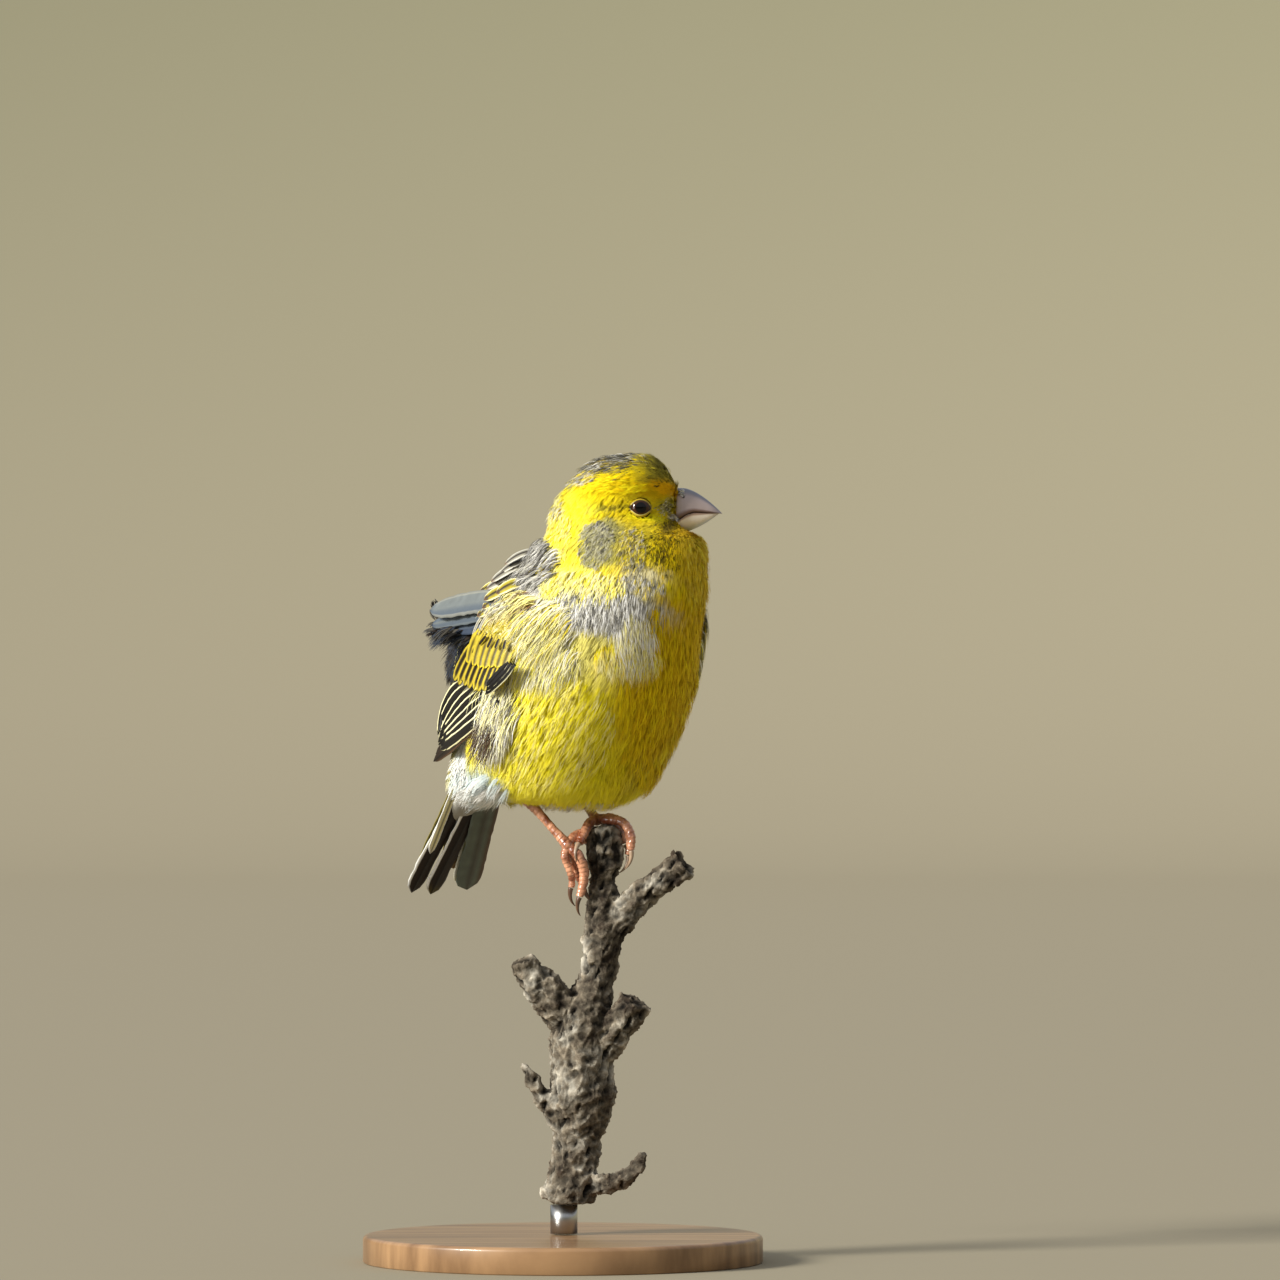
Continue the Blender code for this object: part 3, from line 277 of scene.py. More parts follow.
# Colours, as red, green and blue out of 255 on a screen.
COLOURS = {
    "white": (246, 244, 238),
    "grey_white": (224, 220, 208),
    "blue_white": (214, 226, 226),
    "grey": (160, 156, 138),
    "dark_grey": (78, 74, 66),
    "slate": (48, 58, 74),
    "black": (16, 13, 10),
    "brown_black": (38, 26, 18),
    "brown": (120, 84, 50),
    "cream": (242, 234, 184),
    "pale_lemon": (252, 242, 146),
    "lemon": (252, 238, 26),
    "yellow": (246, 221, 8),
    "gold": (234, 197, 3),
    "orange_gold": (255, 200, 3),
    "olive_yellow": (178, 162, 46),
    "olive": (148, 126, 14),
    "dark_olive": (92, 80, 22),
    "wing_gold": (194, 172, 48),
    "grey_olive": (166, 160, 98),
    "ear_grey": (170, 164, 122),
    "blue_grey": (84, 94, 104),
    "pale_blue": (106, 111, 109),
    "green_grey": (140, 142, 100),
    "tail_grey": (100, 108, 98),
    "tail_olive": (116, 108, 78),
}

# Markings of head and body as seen from the front: what they set, place, half sizes, turn, colour,
# strength and softness. Later ones lie over earlier ones.
HEAD_MARKINGS = (
    ("ground", 620, 520, 120, 110, 0, "yellow", 1.0, 0.1),
    ("tip", 600, 520, 60, 110, 0, "lemon", 0.4, 0.3),
    ("ground", 575, 540, 34, 64, -10, "lemon", 1.0, 0.3),
    ("tip", 570, 545, 34, 62, -10, "pale_lemon", 0.7, 0.3),
    ("ground", 588, 592, 36, 13, 12, "pale_lemon", 0.8, 0.5),
    ("ground", 603, 545, 21, 29, 12, "grey_olive", 0.9, 0.4),
    ("ground", 598, 548, 14, 24, 12, "ear_grey", 0.95, 0.35),
    ("streak", 606, 546, 26, 32, 12, "dark_grey", 0.6, 0.25),
    ("ground", 634, 552, 15, 24, 10, "olive_yellow", 0.7, 0.5),
    ("streak", 638, 556, 18, 26, 10, "dark_olive", 0.5, 0.4),
    ("ground", 640, 584, 26, 12, 0, "grey_white", 0.65, 0.5),
    ("streak", 640, 582, 28, 14, 0, "dark_grey", 0.6, 0.4),
    ("ground", 632, 473, 36, 8, 6, "olive_yellow", 0.8, 0.4),
    ("streak", 636, 474, 40, 9, 8, "brown_black", 0.6, 0.4),
    ("ground", 612, 459, 42, 10, -12, "grey", 1.0, 0.5),
    ("ground", 578, 478, 26, 6.0, -38, "grey", 0.8, 0.4),
    ("streak", 582, 476, 30, 9, -38, "dark_grey", 0.8, 0.4),
    ("streak", 606, 463, 50, 14, -20, "black", 0.9, 0.25),
    ("tip", 604, 457, 46, 8, -20, "white", 0.5, 0.3),
    ("ground", 553, 510, 6, 20, 14, "grey_white", 0.8, 0.5),
    ("ground", 662, 473, 28, 15, 26, "olive_yellow", 1.0, 0.3),
    ("ground", 650, 466, 16, 4.5, 16, "dark_olive", 0.5, 0.5),
    ("streak", 660, 473, 30, 15, 26, "black", 0.8, 0.25),
    ("tip", 664, 474, 26, 12, 26, "yellow", 0.5, 0.3),
    ("ground", 637, 480, 10, 4, 10, "brown", 0.6, 0.5),
    ("ground", 612, 488, 30, 12, -22, "yellow", 1.0, 0.4),
    ("ground", 652, 492, 22, 8.5, 8, "gold", 1.0, 0.35),
    ("ground", 662, 488, 14, 7, 14, "orange_gold", 1.0, 0.5),
    ("ground", 614, 511, 19, 2.4, -12, "dark_olive", 0.7, 0.5),
    ("ground", 607, 519, 22, 3.6, -10, "yellow", 0.85, 0.5),
    ("ground", 645, 521, 20, 4.6, 6, "lemon", 1.0, 0.4),
    ("ground", 664, 507, 9, 9, 0, "olive_yellow", 0.95, 0.4),
    ("streak", 664, 508, 10, 10, 0, "dark_olive", 0.7, 0.4),
    ("tip", 668, 506, 10, 10, 0, "cream", 0.8, 0.4),
    ("ground", 671, 519, 7, 4, 0, "grey_white", 0.8, 0.4),
    ("ground", 668, 546, 13, 26, 6, "gold", 0.9, 0.5),
    ("streak", 662, 548, 15, 30, 8, "black", 1.0, 0.3),
    ("ground", 665, 531, 7, 8, 20, "brown_black", 0.8, 0.5),
    ("ground", 659, 561, 6, 12, 10, "brown_black", 0.8, 0.5),
    ("ground", 692, 570, 18, 46, 0, "gold", 0.9, 0.4),
    ("tip", 694, 570, 18, 46, 0, "lemon", 0.5, 0.4),
    ("streak", 690, 572, 18, 40, 0, "dark_olive", 0.35, 0.4),
)
BODY_MARKINGS = (
    ("ground", 600, 700, 400, 400, 0, "lemon", 1.0, 0.1),
    # Painted light: pale lemon tips on the left of the belly brighten the side that faces the light, on top of the
    # feathers' own paler tips.
    ("tip", 540, 700, 90, 160, 0, "pale_lemon", 0.45, 0.5),
    ("ground", 664, 690, 46, 150, 4, "gold", 0.9, 0.5),
    ("ground", 568, 640, 62, 46, 18, "pale_lemon", 0.8, 0.4),
    ("streak", 560, 640, 60, 46, 18, "dark_grey", 0.5, 0.4),
    ("ground", 606, 612, 56, 22, 8, "white", 1.0, 0.35),
    ("streak", 606, 610, 58, 24, 8, "black", 0.75, 0.3),
    ("ground", 630, 636, 20, 36, -8, "cream", 0.8, 0.5),
    ("streak", 628, 634, 22, 38, -8, "dark_grey", 0.5, 0.3),
    ("ground", 616, 606, 5, 8, 0, "black", 0.9, 0.5),
    ("ground", 500, 590, 70, 40, 8, "grey_white", 1.0, 0.3),
    ("streak", 500, 590, 74, 42, 8, "brown_black", 0.9, 0.3),
    # Painted shade: olive down the right edge and green-grey at the lower right darken the side turned from the light,
    # over the breast's own olive tinge.
    ("ground", 706, 700, 20, 120, 12, "olive", 0.7, 0.6),
    ("ground", 668, 776, 44, 24, -24, "green_grey", 0.6, 0.6),
    ("ground", 474, 712, 18, 58, 26, "cream", 0.9, 0.5),
    ("streak", 480, 722, 24, 56, 26, "dark_grey", 0.6, 0.4),
    ("ground", 580, 814, 100, 10, 0, "white", 0.9, 0.5),
    ("ground", 480, 796, 28, 26, 0, "blue_white", 1.0, 0.4),
)

# Long plumes by place on the near side: centre and half spread of their roots, the way and length they
# reach, how many, the arch of the middle, how closely they lie, the half width of each as a share of its
# length, grounds to choose from, streak and tip colours, and the streak's strength.
PLUMES = {
    "mantle": ((540, 562), (30, 26), (-24, 11), 520, (-1, -1), 0.8, 0.05,
               ("grey", "grey_white", "dark_grey", "brown_black"), "brown_black", "white", 0.5),
    "shoulder": ((530, 602), (20, 10), (-36, 16), 260, (-3, -6), 0.7, 0.05,
                 ("olive_yellow", "cream", "pale_lemon", "brown"), "brown_black", "cream", 0.4),
    # Painted shade: this down is near black, its own grey-blue darkened for the shade under the lifted feathers.
    "down": ((484, 638), (8, 18), (-34, 36), 220, (-6, -2), 0.2, 0.1,
             ("blue_grey", "slate", "black", "dark_grey"), "black", "slate", 0.6),
    "cream": ((574, 620), (22, 18), (-52, 36), 608, (-8, -12), 0.8, 0.05,
              ("cream", "white", "yellow", "dark_grey", "pale_lemon", "cream"), "dark_grey", "pale_lemon", 0.5),
    "cream_low": ((560, 650), (34, 16), (-26, 34), 510, (-6, -6), 0.85, 0.05,
                  ("cream", "pale_lemon", "lemon", "white", "grey"), "dark_grey", "pale_lemon", 0.4),
    "collar": ((590, 582), (38, 12), (-4, 22), 560, (0, 0), 0.8, 0.06,
               ("pale_lemon", "lemon", "pale_lemon", "cream"), "olive_yellow", "pale_lemon", 0.2),
    "neck": ((602, 598), (44, 16), (-4, 28), 690, (0, 0), 0.8, 0.05,
             ("white", "white", "black", "grey", "grey_white"), "brown_black", "white", 0.5),
    "bib": ((630, 626), (18, 24), (4, 34), 416, (0, 0), 0.8, 0.07,
            ("white", "cream", "pale_lemon", "white", "pale_lemon"), "dark_grey", "white", 0.25),
    "bib_lobe": ((626, 646), (30, 12), (0, 28), 260, (0, 0), 0.75, 0.09,
                 ("yellow", "pale_lemon", "lemon"), "gold", "white", 0.15),
    "flank": ((520, 690), (14, 34), (-36, 48), 532, (-6, -4), 0.75, 0.06,
              ("white", "cream", "pale_lemon", "pale_lemon", "dark_grey"), "dark_grey", "white", 0.4),
    "flank_dark": ((512, 716), (10, 14), (-38, 44), 150, (-6, -4), 0.6, 0.035,
                   ("grey", "brown_black", "dark_grey"), "brown_black", "brown", 0.8),
    "belly": ((556, 716), (60, 56), (-14, 26), 1092, (0, 0), 0.9, 0.04,
              ("lemon", "pale_lemon", "lemon", "lemon"), "yellow", "pale_lemon", 0.2),
    "breast": ((654, 690), (36, 90), (-4, 26), 832, (0, 0), 0.9, 0.04,
               ("gold", "yellow", "gold", "yellow"), "gold", "yellow", 0.3),
    "belly_fringe": ((590, 796), (60, 4), (-5, 11), 300, (0, 0), 0.6, 0.06,
                     ("white", "cream", "grey_white"), "grey", "white", 0.1),
    "vent": ((500, 782), (17, 13), (-26, 24), 170, (-4, -4), 0.7, 0.10,
             ("blue_white", "white"), "grey", "white", 0.1),
}

# Short plumes of the head, in the same columns.
HEAD_PLUMES = {
    "crown": ((620, 464), (40, 11), (-18, 2), 1300, (0, -2), 0.5, 0.07,
              ("grey", "dark_grey", "black", "olive", "dark_grey", "grey_white"), "black", "grey", 0.6),
    "crown_front": ((660, 474), (22, 13), (-16, -3), 300, (0, 0), 0.8, 0.07,
                    ("olive_yellow", "olive_yellow", "brown_black", "dark_olive", "yellow"), "brown_black", "yellow", 0.5),
    "crown_side": ((612, 474), (26, 6), (-18, 4), 180, (0, 0), 0.85, 0.07,
                   ("olive_yellow", "yellow", "dark_grey", "yellow"), "dark_olive", "yellow", 0.3),
    "nape": ((586, 477), (18, 8), (-14, 5), 180, (0, -1), 0.5, 0.09,
             ("grey", "dark_grey", "grey", "yellow", "grey_white"), "dark_grey", "grey_white", 0.4),
    "nape_low": ((560, 500), (9, 18), (-8, 12), 160, (-1, 0), 0.5, 0.09,
                 ("grey_white", "lemon", "pale_lemon", "grey"), "grey", "pale_lemon", 0.2),
    "hind_neck": ((566, 545), (12, 40), (-4, 15), 340, (0, 0), 0.85, 0.06,
                  ("lemon", "pale_lemon", "yellow", "pale_lemon"), "olive_yellow", "pale_lemon", 0.15),
    "brow": ((622, 486), (30, 7), (-15, 3), 240, (0, 0), 0.9, 0.06,
             ("yellow", "lemon", "gold"), "gold", "lemon", 0.2),
    "ear": ((602, 545), (17, 24), (-5, 10), 420, (0, 0), 0.9, 0.07,
            ("ear_grey", "grey", "ear_grey", "dark_grey", "grey_olive"), "dark_grey", "grey_white", 0.3),
    "cheek": ((634, 552), (13, 24), (-3, 11), 300, (0, 0), 0.9, 0.07,
              ("olive_yellow", "yellow", "dark_olive", "grey"), "dark_grey", "grey_white", 0.3),
    "malar": ((664, 548), (14, 28), (-2, 13), 380, (0, 0), 0.85, 0.06,
              ("gold", "black", "brown_black", "black", "yellow", "gold"), "black", "yellow", 0.5),
    "chin": ((692, 572), (14, 40), (-1, 14), 400, (0, 0), 0.85, 0.06,
             ("gold", "yellow", "gold", "yellow", "lemon"), "dark_olive", "pale_lemon", 0.25),
    "lower_cheek": ((628, 584), (34, 9), (-2, 14), 300, (0, 0), 0.85, 0.06,
                    ("grey_white", "dark_grey", "yellow", "white", "grey"), "dark_grey", "white", 0.4),
    "lores": ((664, 508), (8, 8), (-6, 3), 60, (0, 0), 0.8, 0.05,
              ("cream", "dark_olive", "grey_white", "olive_yellow"), "dark_olive", "white", 0.3),
    "bristles_high": ((680, 497), (4, 7), (5, 4), 26, (0, 0), 0.6, 0.05,
                      ("black", "white", "cream", "grey_white"), "black", "white", 0.2),
    "bristles_low": ((670, 519), (5, 4), (6, 3), 26, (0, 0), 0.6, 0.05,
                     ("grey_white", "white", "black"), "grey", "white", 0.2),
}

# Broad streaked feathers of mantle and shoulder, row by row: the roots of the first and last as seen from
# the front, the way and length they reach, how many, the half width in millimetres and the look.
MANTLE_ROWS = (
    ((538, 550), (520, 574), (-38, 13), 5, 1.3, "mantle"),
    ((522, 558), (506, 580), (-42, 13), 5, 1.6, "mantle"),
    ((510, 568), (502, 586), (-48, 10), 4, 1.7, "shoulder"),
    ((530, 582), (514, 600), (-42, 12), 5, 1.8, "shoulder"),
)


def screen(name):
    """A named colour in linear light."""
    values = np.array(COLOURS[name]) / 255.0
    return np.where(values <= 0.04045, values / 12.92, ((values + 0.055) / 1.055) ** 2.4)


def unit(vectors):
    """Vectors along the last axis made one long."""
    return vectors / np.maximum(np.linalg.norm(vectors, axis=-1, keepdims=True), 1e-9)


def dot(a, b):
    """The dot products of rows, kept as a column."""
    return (a * b).sum(-1, keepdims=True)


def rise_between(values, low, high):
    """0 below the low value, 1 above the high one, and smooth between; high may be less than low."""
    share = np.clip((values - low) / (high - low), 0.0, 1.0)
    return share * share * (3.0 - 2.0 * share)


def heading_axes(degrees):
    """Ahead and right for headings turned from +X towards the viewer."""
    turn = np.radians(degrees)
    zero = np.zeros_like(turn)
    ahead = np.stack((np.cos(turn), -np.sin(turn), zero), -1)
    right = np.stack((-np.sin(turn), -np.cos(turn), zero), -1)
    return ahead, right


AHEAD, RIGHT = heading_axes(np.array(BODY_HEADING))


def head_axes():
    """Ahead, left and up of the head, pitched with the bill."""
    ahead, right = heading_axes(np.array(HEAD_HEADING))
    pitch = math.radians(BILL_PITCH)
    ahead = ahead * math.cos(pitch) + UP * math.sin(pitch)
    return np.array((ahead, -right, np.cross(ahead, -right)))


HEAD_AXES = head_axes()


def from_head(ahead, left, up):
    """World places of points measured from the centre of the bill's base."""
    parts = np.stack(np.broadcast_arrays(ahead, left, up), -1)
    return BILL_BASE + parts @ HEAD_AXES


def bird_direction(ahead, right, up):
    """World direction of a vector given in the bird's own directions."""
    return AHEAD * ahead + RIGHT * right + UP * up


def from_bird(ahead, right, up):
    """World place of a point given in the bird's own directions."""
    return BODY_SPOT + bird_direction(ahead, right, up)


def smooth_table(rows, places):
    """Rows of a table read between its rows on smooth curves."""
    rows = np.asarray(rows, float)
    places = np.asarray(places, float)
    last = len(rows) - 1
    low = np.clip(np.floor(places).astype(int), 0, last - 1)
    share = (places - low)[..., None]
    a, b, c, d = (rows[np.clip(low + step, 0, last)] for step in (-1, 0, 1, 2))
    curve = 2 * b + (c - a) * share + (2 * a - 5 * b + 4 * c - d) * share ** 2
    curve += (3 * b - a - 3 * c + d) * share ** 3
    return curve / 2


def wobble(points, size, seed):
    """Smooth seeded noise from about -1 to 1, with lumps of the given size."""
    draw = np.random.default_rng(seed)
    total = np.zeros(points.shape[:-1])
    for _ in range(6):
        way = unit(draw.normal(size=3)) * draw.uniform(0.6, 1.5) * 2 * math.pi / size
        total += np.sin(points @ way + draw.uniform(0, 2 * math.pi))
    return total / 3.0


def cuffed(points):
    """Points of the head moved out to the cuff of plumage round the bill."""
    local = (points - BILL_BASE) @ HEAD_AXES.T
    behind = -local[..., 0]
    table = np.array(FACE_CUFFS)
    half_height = np.interp(behind, table[:, 0], table[:, 1])
    half_width = np.interp(behind, table[:, 0], table[:, 2])
    out = np.sqrt((local[..., 1] / half_width) ** 2 + (local[..., 2] / half_height) ** 2)
    out = np.clip(out, 1e-6, 1.0)
    pushed = 1.0 - (1.0 - out) ** 4
    share = rise_between(behind, 12.0, 8.0)
    grow = 1.0 + (pushed / out - 1.0) * share
    local = np.stack((local[..., 0], local[..., 1] * grow, local[..., 2] * grow), -1)
    return BILL_BASE + local @ HEAD_AXES


def coat_surface(turn, row):
    """Places of the coat's outer surface at turns round the body and rows of the table."""
    table = smooth_table(BODY_SECTIONS, row)
    height, ahead, depth, width, heading, roundness = np.moveaxis(table, -1, 0)
    facing, side = heading_axes(heading)
    along, across = np.cos(turn), np.sin(turn)
    power = 2.0 / np.where(along > 0, roundness, 2.0)
    reach = np.sign(along) * np.abs(along) ** power * np.maximum(depth, 0.0)
    spread = np.sign(across) * np.abs(across) ** power * np.maximum(width, 0.0)
    centre = BODY_SPOT + AHEAD * ahead[..., None]
    place = centre + facing * reach[..., None] + side * spread[..., None]
    place[..., 2] = height
    return cuffed(place)


def surface_frame(turn, row):
    """Places, outward normals and areas of the coat's outer surface."""
    step = 0.004
    place = coat_surface(turn, row)
    round_step = coat_surface(turn + step, row) - coat_surface(turn - step, row)
    rise_step = coat_surface(turn, row + step) - coat_surface(turn, row - step)
    normal = np.cross(rise_step, round_step)
    area = np.linalg.norm(normal, axis=-1)
    normal = unit(normal)
    centre = BODY_SPOT + AHEAD * smooth_table(BODY_SECTIONS, row)[..., 1, None]
    outward = place - centre
    outward[..., 2] = (place[..., 2] - 138.0) * 0.3
    normal = np.where(dot(normal, outward) < 0, -normal, normal)
    return place, normal, area


def eye_sites():
    """Centre and outward direction of each eye, with its forward and upward directions."""
    sites = {}
    for side, sign in (("right", -1.0), ("left", 1.0)):
        low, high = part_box("eye_" + side)
        centre = np.array((low + high) / 2) / MM
        outward = unit(HEAD_AXES[1] * sign + HEAD_AXES[0] * 0.22 + HEAD_AXES[2] * 0.06)
        forward = unit(HEAD_AXES[0] - outward * (HEAD_AXES[0] @ outward))
        rise = np.cross(outward, forward)
        rise = rise if rise[2] > 0 else -rise
        sites[side] = (centre, outward, forward, rise)
    return sites


def eye_distance(points, sites):
    """How far points lie from the axis of the nearer eye, counted more above and below it."""
    nearest = np.full(points.shape[:-1], 99.0)
    for centre, outward, forward, rise in sites.values():
        offset = points - centre
        depth = offset @ outward
        away = np.hypot(offset @ forward, offset @ rise * EYE_SQUEEZE)
        nearest = np.where(depth > -2.0, np.minimum(nearest, away), nearest)
    return nearest


def coat_depth(points):
    """How deep the skin lies under the coat's surface."""
    table = np.array(COAT_DEPTH)
    depth = np.interp(points[..., 2], table[:, 0], table[:, 1])
    from_bill = np.linalg.norm(points - BILL_BASE, axis=-1)
    return np.minimum(depth, 0.3 + from_bill * 0.1)


def skin_frame(turn, row, sites):
    """Places and normals of the skin under the coat, hollowed round the eyes."""
    place, normal, area = surface_frame(turn, row)
    near_eye = eye_distance(place, sites)
    hollow = ORBIT_DEPTH * np.clip(1.0 - (near_eye / ORBIT_RADIUS) ** 2, 0.0, 1.0)
    skin = place - normal * (coat_depth(place) + hollow)[..., None]
    return skin, normal, area


def lie_directions(points, normals):
    """The way that feathers lie: away from the bill, back over the head, then down to the tail."""
    away = points - (BILL_BASE + HEAD_AXES[0] * 5.0)
    distance = np.linalg.norm(away, axis=-1, keepdims=True)
    away = away / distance
    head_way = away - UP * (0.1 + 0.9 * rise_between(distance, 8.0, 24.0))
    body_way = bird_direction(-0.5, 0.0, -0.85)
    share = rise_between(points[..., 2:3], 160.0, 148.0)
    way = head_way * (1 - share) + body_way * share
    way = way + 0.22 * unit(np.cross(normals, way)) * wobble(points, 9.0, 31)[..., None]
    return unit(way - normals * dot(way, normals))


def picture_place(points):
    """Where points are seen from the front, in picture steps."""
    return points[..., 0] / PICTURE_STEP + PICTURE_ORIGIN[0], PICTURE_ORIGIN[1] - points[..., 2] / PICTURE_STEP


def mirrored(points, is_direction=False):
    """Points or directions reflected in the body's middle plane."""
    start = 0.0 if is_direction else BODY_SPOT
    offset = points - start
    return start + offset - 2.0 * RIGHT * dot(offset, RIGHT)


def painted(points, markings, marks):
    """Lays a table of markings over the marks of points."""
    across, down = picture_place(points)
    ragged = 0.16 * wobble(points, 4.0, 17) + 0.10 * wobble(points, 1.8, 18)
    for kind, place_x, place_y, half_x, half_y, turn, colour, strength, softness in markings:
        angle = math.radians(turn)
        x, y = across - place_x, down - place_y
        along = (x * math.cos(angle) + y * math.sin(angle)) / half_x
        over = (y * math.cos(angle) - x * math.sin(angle)) / half_y
        away = np.sqrt(along ** 2 + over ** 2) + ragged
        share = strength * rise_between(away, 1.0 + softness, 1.0 - softness)
        marks[kind] = marks[kind] + (screen(colour) - marks[kind]) * share[:, None]
        if kind != "ground":
            amount = kind + "_amount"
            marks[amount] = marks[amount] + (strength - marks[amount]) * share
        else:
            for amount in ("streak_amount", "tip_amount"):
                marks[amount] = marks[amount] * (1.0 - share * 0.8)
    return marks


def blank_marks(count):
    """Marks of points before any marking is laid."""
    return {
        "ground": np.tile(screen("lemon"), (count, 1)),
        "streak": np.tile(screen("dark_grey"), (count, 1)),
        "tip": np.tile(screen("pale_lemon"), (count, 1)),
        "streak_amount": np.zeros(count),
        "tip_amount": np.zeros(count),
    }


def side_marks(points):
    """Marks of points as if all were on the side that is seen."""
    marks = painted(points, BODY_MARKINGS, blank_marks(len(points)))
    head = painted(points, HEAD_MARKINGS, blank_marks(len(points)))
    edge = 151.5 + (points[:, 0] - 8.0) * -0.12 - np.abs(points[:, 0] - 8.0) * 0.03
    share = rise_between(points[:, 2] + wobble(points, 3.0, 23) * 0.7, edge - 4.5, edge - 3.0)
    for name, values in marks.items():
        weight = share if values.ndim == 1 else share[:, None]
        marks[name] = values + (head[name] - values) * weight
    return marks


def marks_at(points):
    """Colours of the ground, streaks and tips of the plumage at points on the bird."""
    offset = points - BODY_SPOT
    turn = np.degrees(np.arctan2(offset @ RIGHT, offset @ AHEAD))
    hidden = rise_between(turn, -48.0, -72.0) * rise_between(points[:, 2], 158.0, 152.0)
    here = side_marks(points)
    there = side_marks(mirrored(points))
    for name, values in here.items():
        weight = hidden if values.ndim == 1 else hidden[:, None]
        here[name] = values + (there[name] - values) * weight
    return here


def new_mesh(name, points, triangles, material, colours=None, patches=None, normals=None):
    """An object from arrays of points in millimetres and triangles, with colours, patches and normals."""
    mesh = bpy.data.meshes.new(name)
    mesh.vertices.add(len(points))
    mesh.vertices.foreach_set("co", (np.asarray(points) * MM).astype(np.float32).ravel())
    mesh.loops.add(len(triangles) * 3)
    mesh.loops.foreach_set("vertex_index", triangles.astype(np.int32).ravel())
    mesh.polygons.add(len(triangles))
    mesh.polygons.foreach_set("loop_start", np.arange(0, len(triangles) * 3, 3, dtype=np.int32))
    mesh.polygons.foreach_set("use_smooth", np.ones(len(triangles), dtype=bool))
    mesh.update(calc_edges=True)
    if colours is not None:
        paint = mesh.color_attributes.new("paint", "FLOAT_COLOR", "POINT")
        full = np.ones((len(points), 4), np.float32)
        full[:, :3] = colours
        paint.data.foreach_set("color", full.ravel())
    if patches is not None:
        layer = mesh.uv_layers.new(name="OFBake")
        layer.data.foreach_set("uv", patches[triangles.ravel()].astype(np.float32).ravel())
    if normals is not None:
        mesh.normals_split_custom_set_from_vertices(normals.astype(np.float32))
    mesh.materials.append(material)
    made = bpy.data.objects.new(name, mesh)
    bpy.context.scene.collection.objects.link(made)
    return made


def grid_triangles(rows, columns, closed):
    """Triangles of a grid of points, row by row, closed round or open."""
    row, column = np.meshgrid(np.arange(rows - 1), np.arange(columns if closed else columns - 1), indexing="ij")
    a = (row * columns + column).ravel()
    b = (row * columns + (column + 1) % columns).ravel()
    return np.concatenate((np.stack((a, b, b + columns), -1), np.stack((a, b + columns, a + columns), -1)))


def nodes_of(material):
    """The node tree of a material and its main shader."""
    material.use_nodes = True
    tree = material.node_tree
    return tree, tree.nodes["Principled BSDF"]


def make_material(name, roughness, specular=0.5, metallic=0.0, sheen=0.0, coat=0.0):
    """A Principled material with its constants set."""
    material = bpy.data.materials.new(name)
    tree, shader = nodes_of(material)
    shader.inputs["Roughness"].default_value = roughness
    shader.inputs["Specular IOR Level"].default_value = specular
    shader.inputs["Metallic"].default_value = metallic
    shader.inputs["Sheen Weight"].default_value = sheen
    shader.inputs["Sheen Roughness"].default_value = 0.6
    shader.inputs["Coat Weight"].default_value = coat
    shader.inputs["Coat Roughness"].default_value = 0.08
    return material


def painted_material(name, roughness, specular=0.3, sheen=0.0, coat=0.0, bump=0.0, bump_scale=900.0):
    """A material whose colour is the mesh's own paint, with a little unevenness."""
    material = make_material(name, roughness, specular, 0.0, sheen, coat)
    tree, shader = nodes_of(material)
    paint = tree.nodes.new("ShaderNodeAttribute")
    paint.attribute_name = "paint"
    noise = noise_node(tree, 420.0, 2.0)
    shade = tree.nodes.new("ShaderNodeMapRange")
    shade.inputs["To Min"].default_value = 0.86
    shade.inputs["To Max"].default_value = 1.12
    tree.links.new(noise.outputs["Fac"], shade.inputs["Value"])
    mix = tree.nodes.new("ShaderNodeVectorMath")
    mix.operation = "SCALE"
    tree.links.new(paint.outputs["Color"], mix.inputs[0])
    tree.links.new(shade.outputs["Result"], mix.inputs["Scale"])
    tree.links.new(mix.outputs["Vector"], shader.inputs["Base Color"])
    if bump:
        add_bump(tree, shader, noise_node(tree, bump_scale, 3.0), bump)
    return material


def noise_node(tree, scale, detail):
    """A noise texture on the object's own coordinates."""
    spot = tree.nodes.new("ShaderNodeTexCoord")
    noise = tree.nodes.new("ShaderNodeTexNoise")
    noise.inputs["Scale"].default_value = scale
    noise.inputs["Detail"].default_value = detail
    tree.links.new(spot.outputs["Object"], noise.inputs["Vector"])
    return noise


def add_bump(tree, shader, source, strength, distance=0.0002):
    """Turns a texture's value into small relief."""
    bump = tree.nodes.new("ShaderNodeBump")
    bump.inputs["Strength"].default_value = strength
    bump.inputs["Distance"].default_value = distance
    tree.links.new(source.outputs[0], bump.inputs["Height"])
    tree.links.new(bump.outputs["Normal"], shader.inputs["Normal"])


def plumage_material():
    """Matt feathers in the colours painted on them."""
    return painted_material("plumage", 0.66, specular=0.08, sheen=0.03)


def skin_patches(turn, row):
    """The unwrap of the skin: round the body across, belly to crown up."""
    return np.stack((np.mod(turn / (2 * math.pi) + 0.25, 1.0), row / (len(BODY_SECTIONS) - 1)), -1) * 0.99 + 0.004


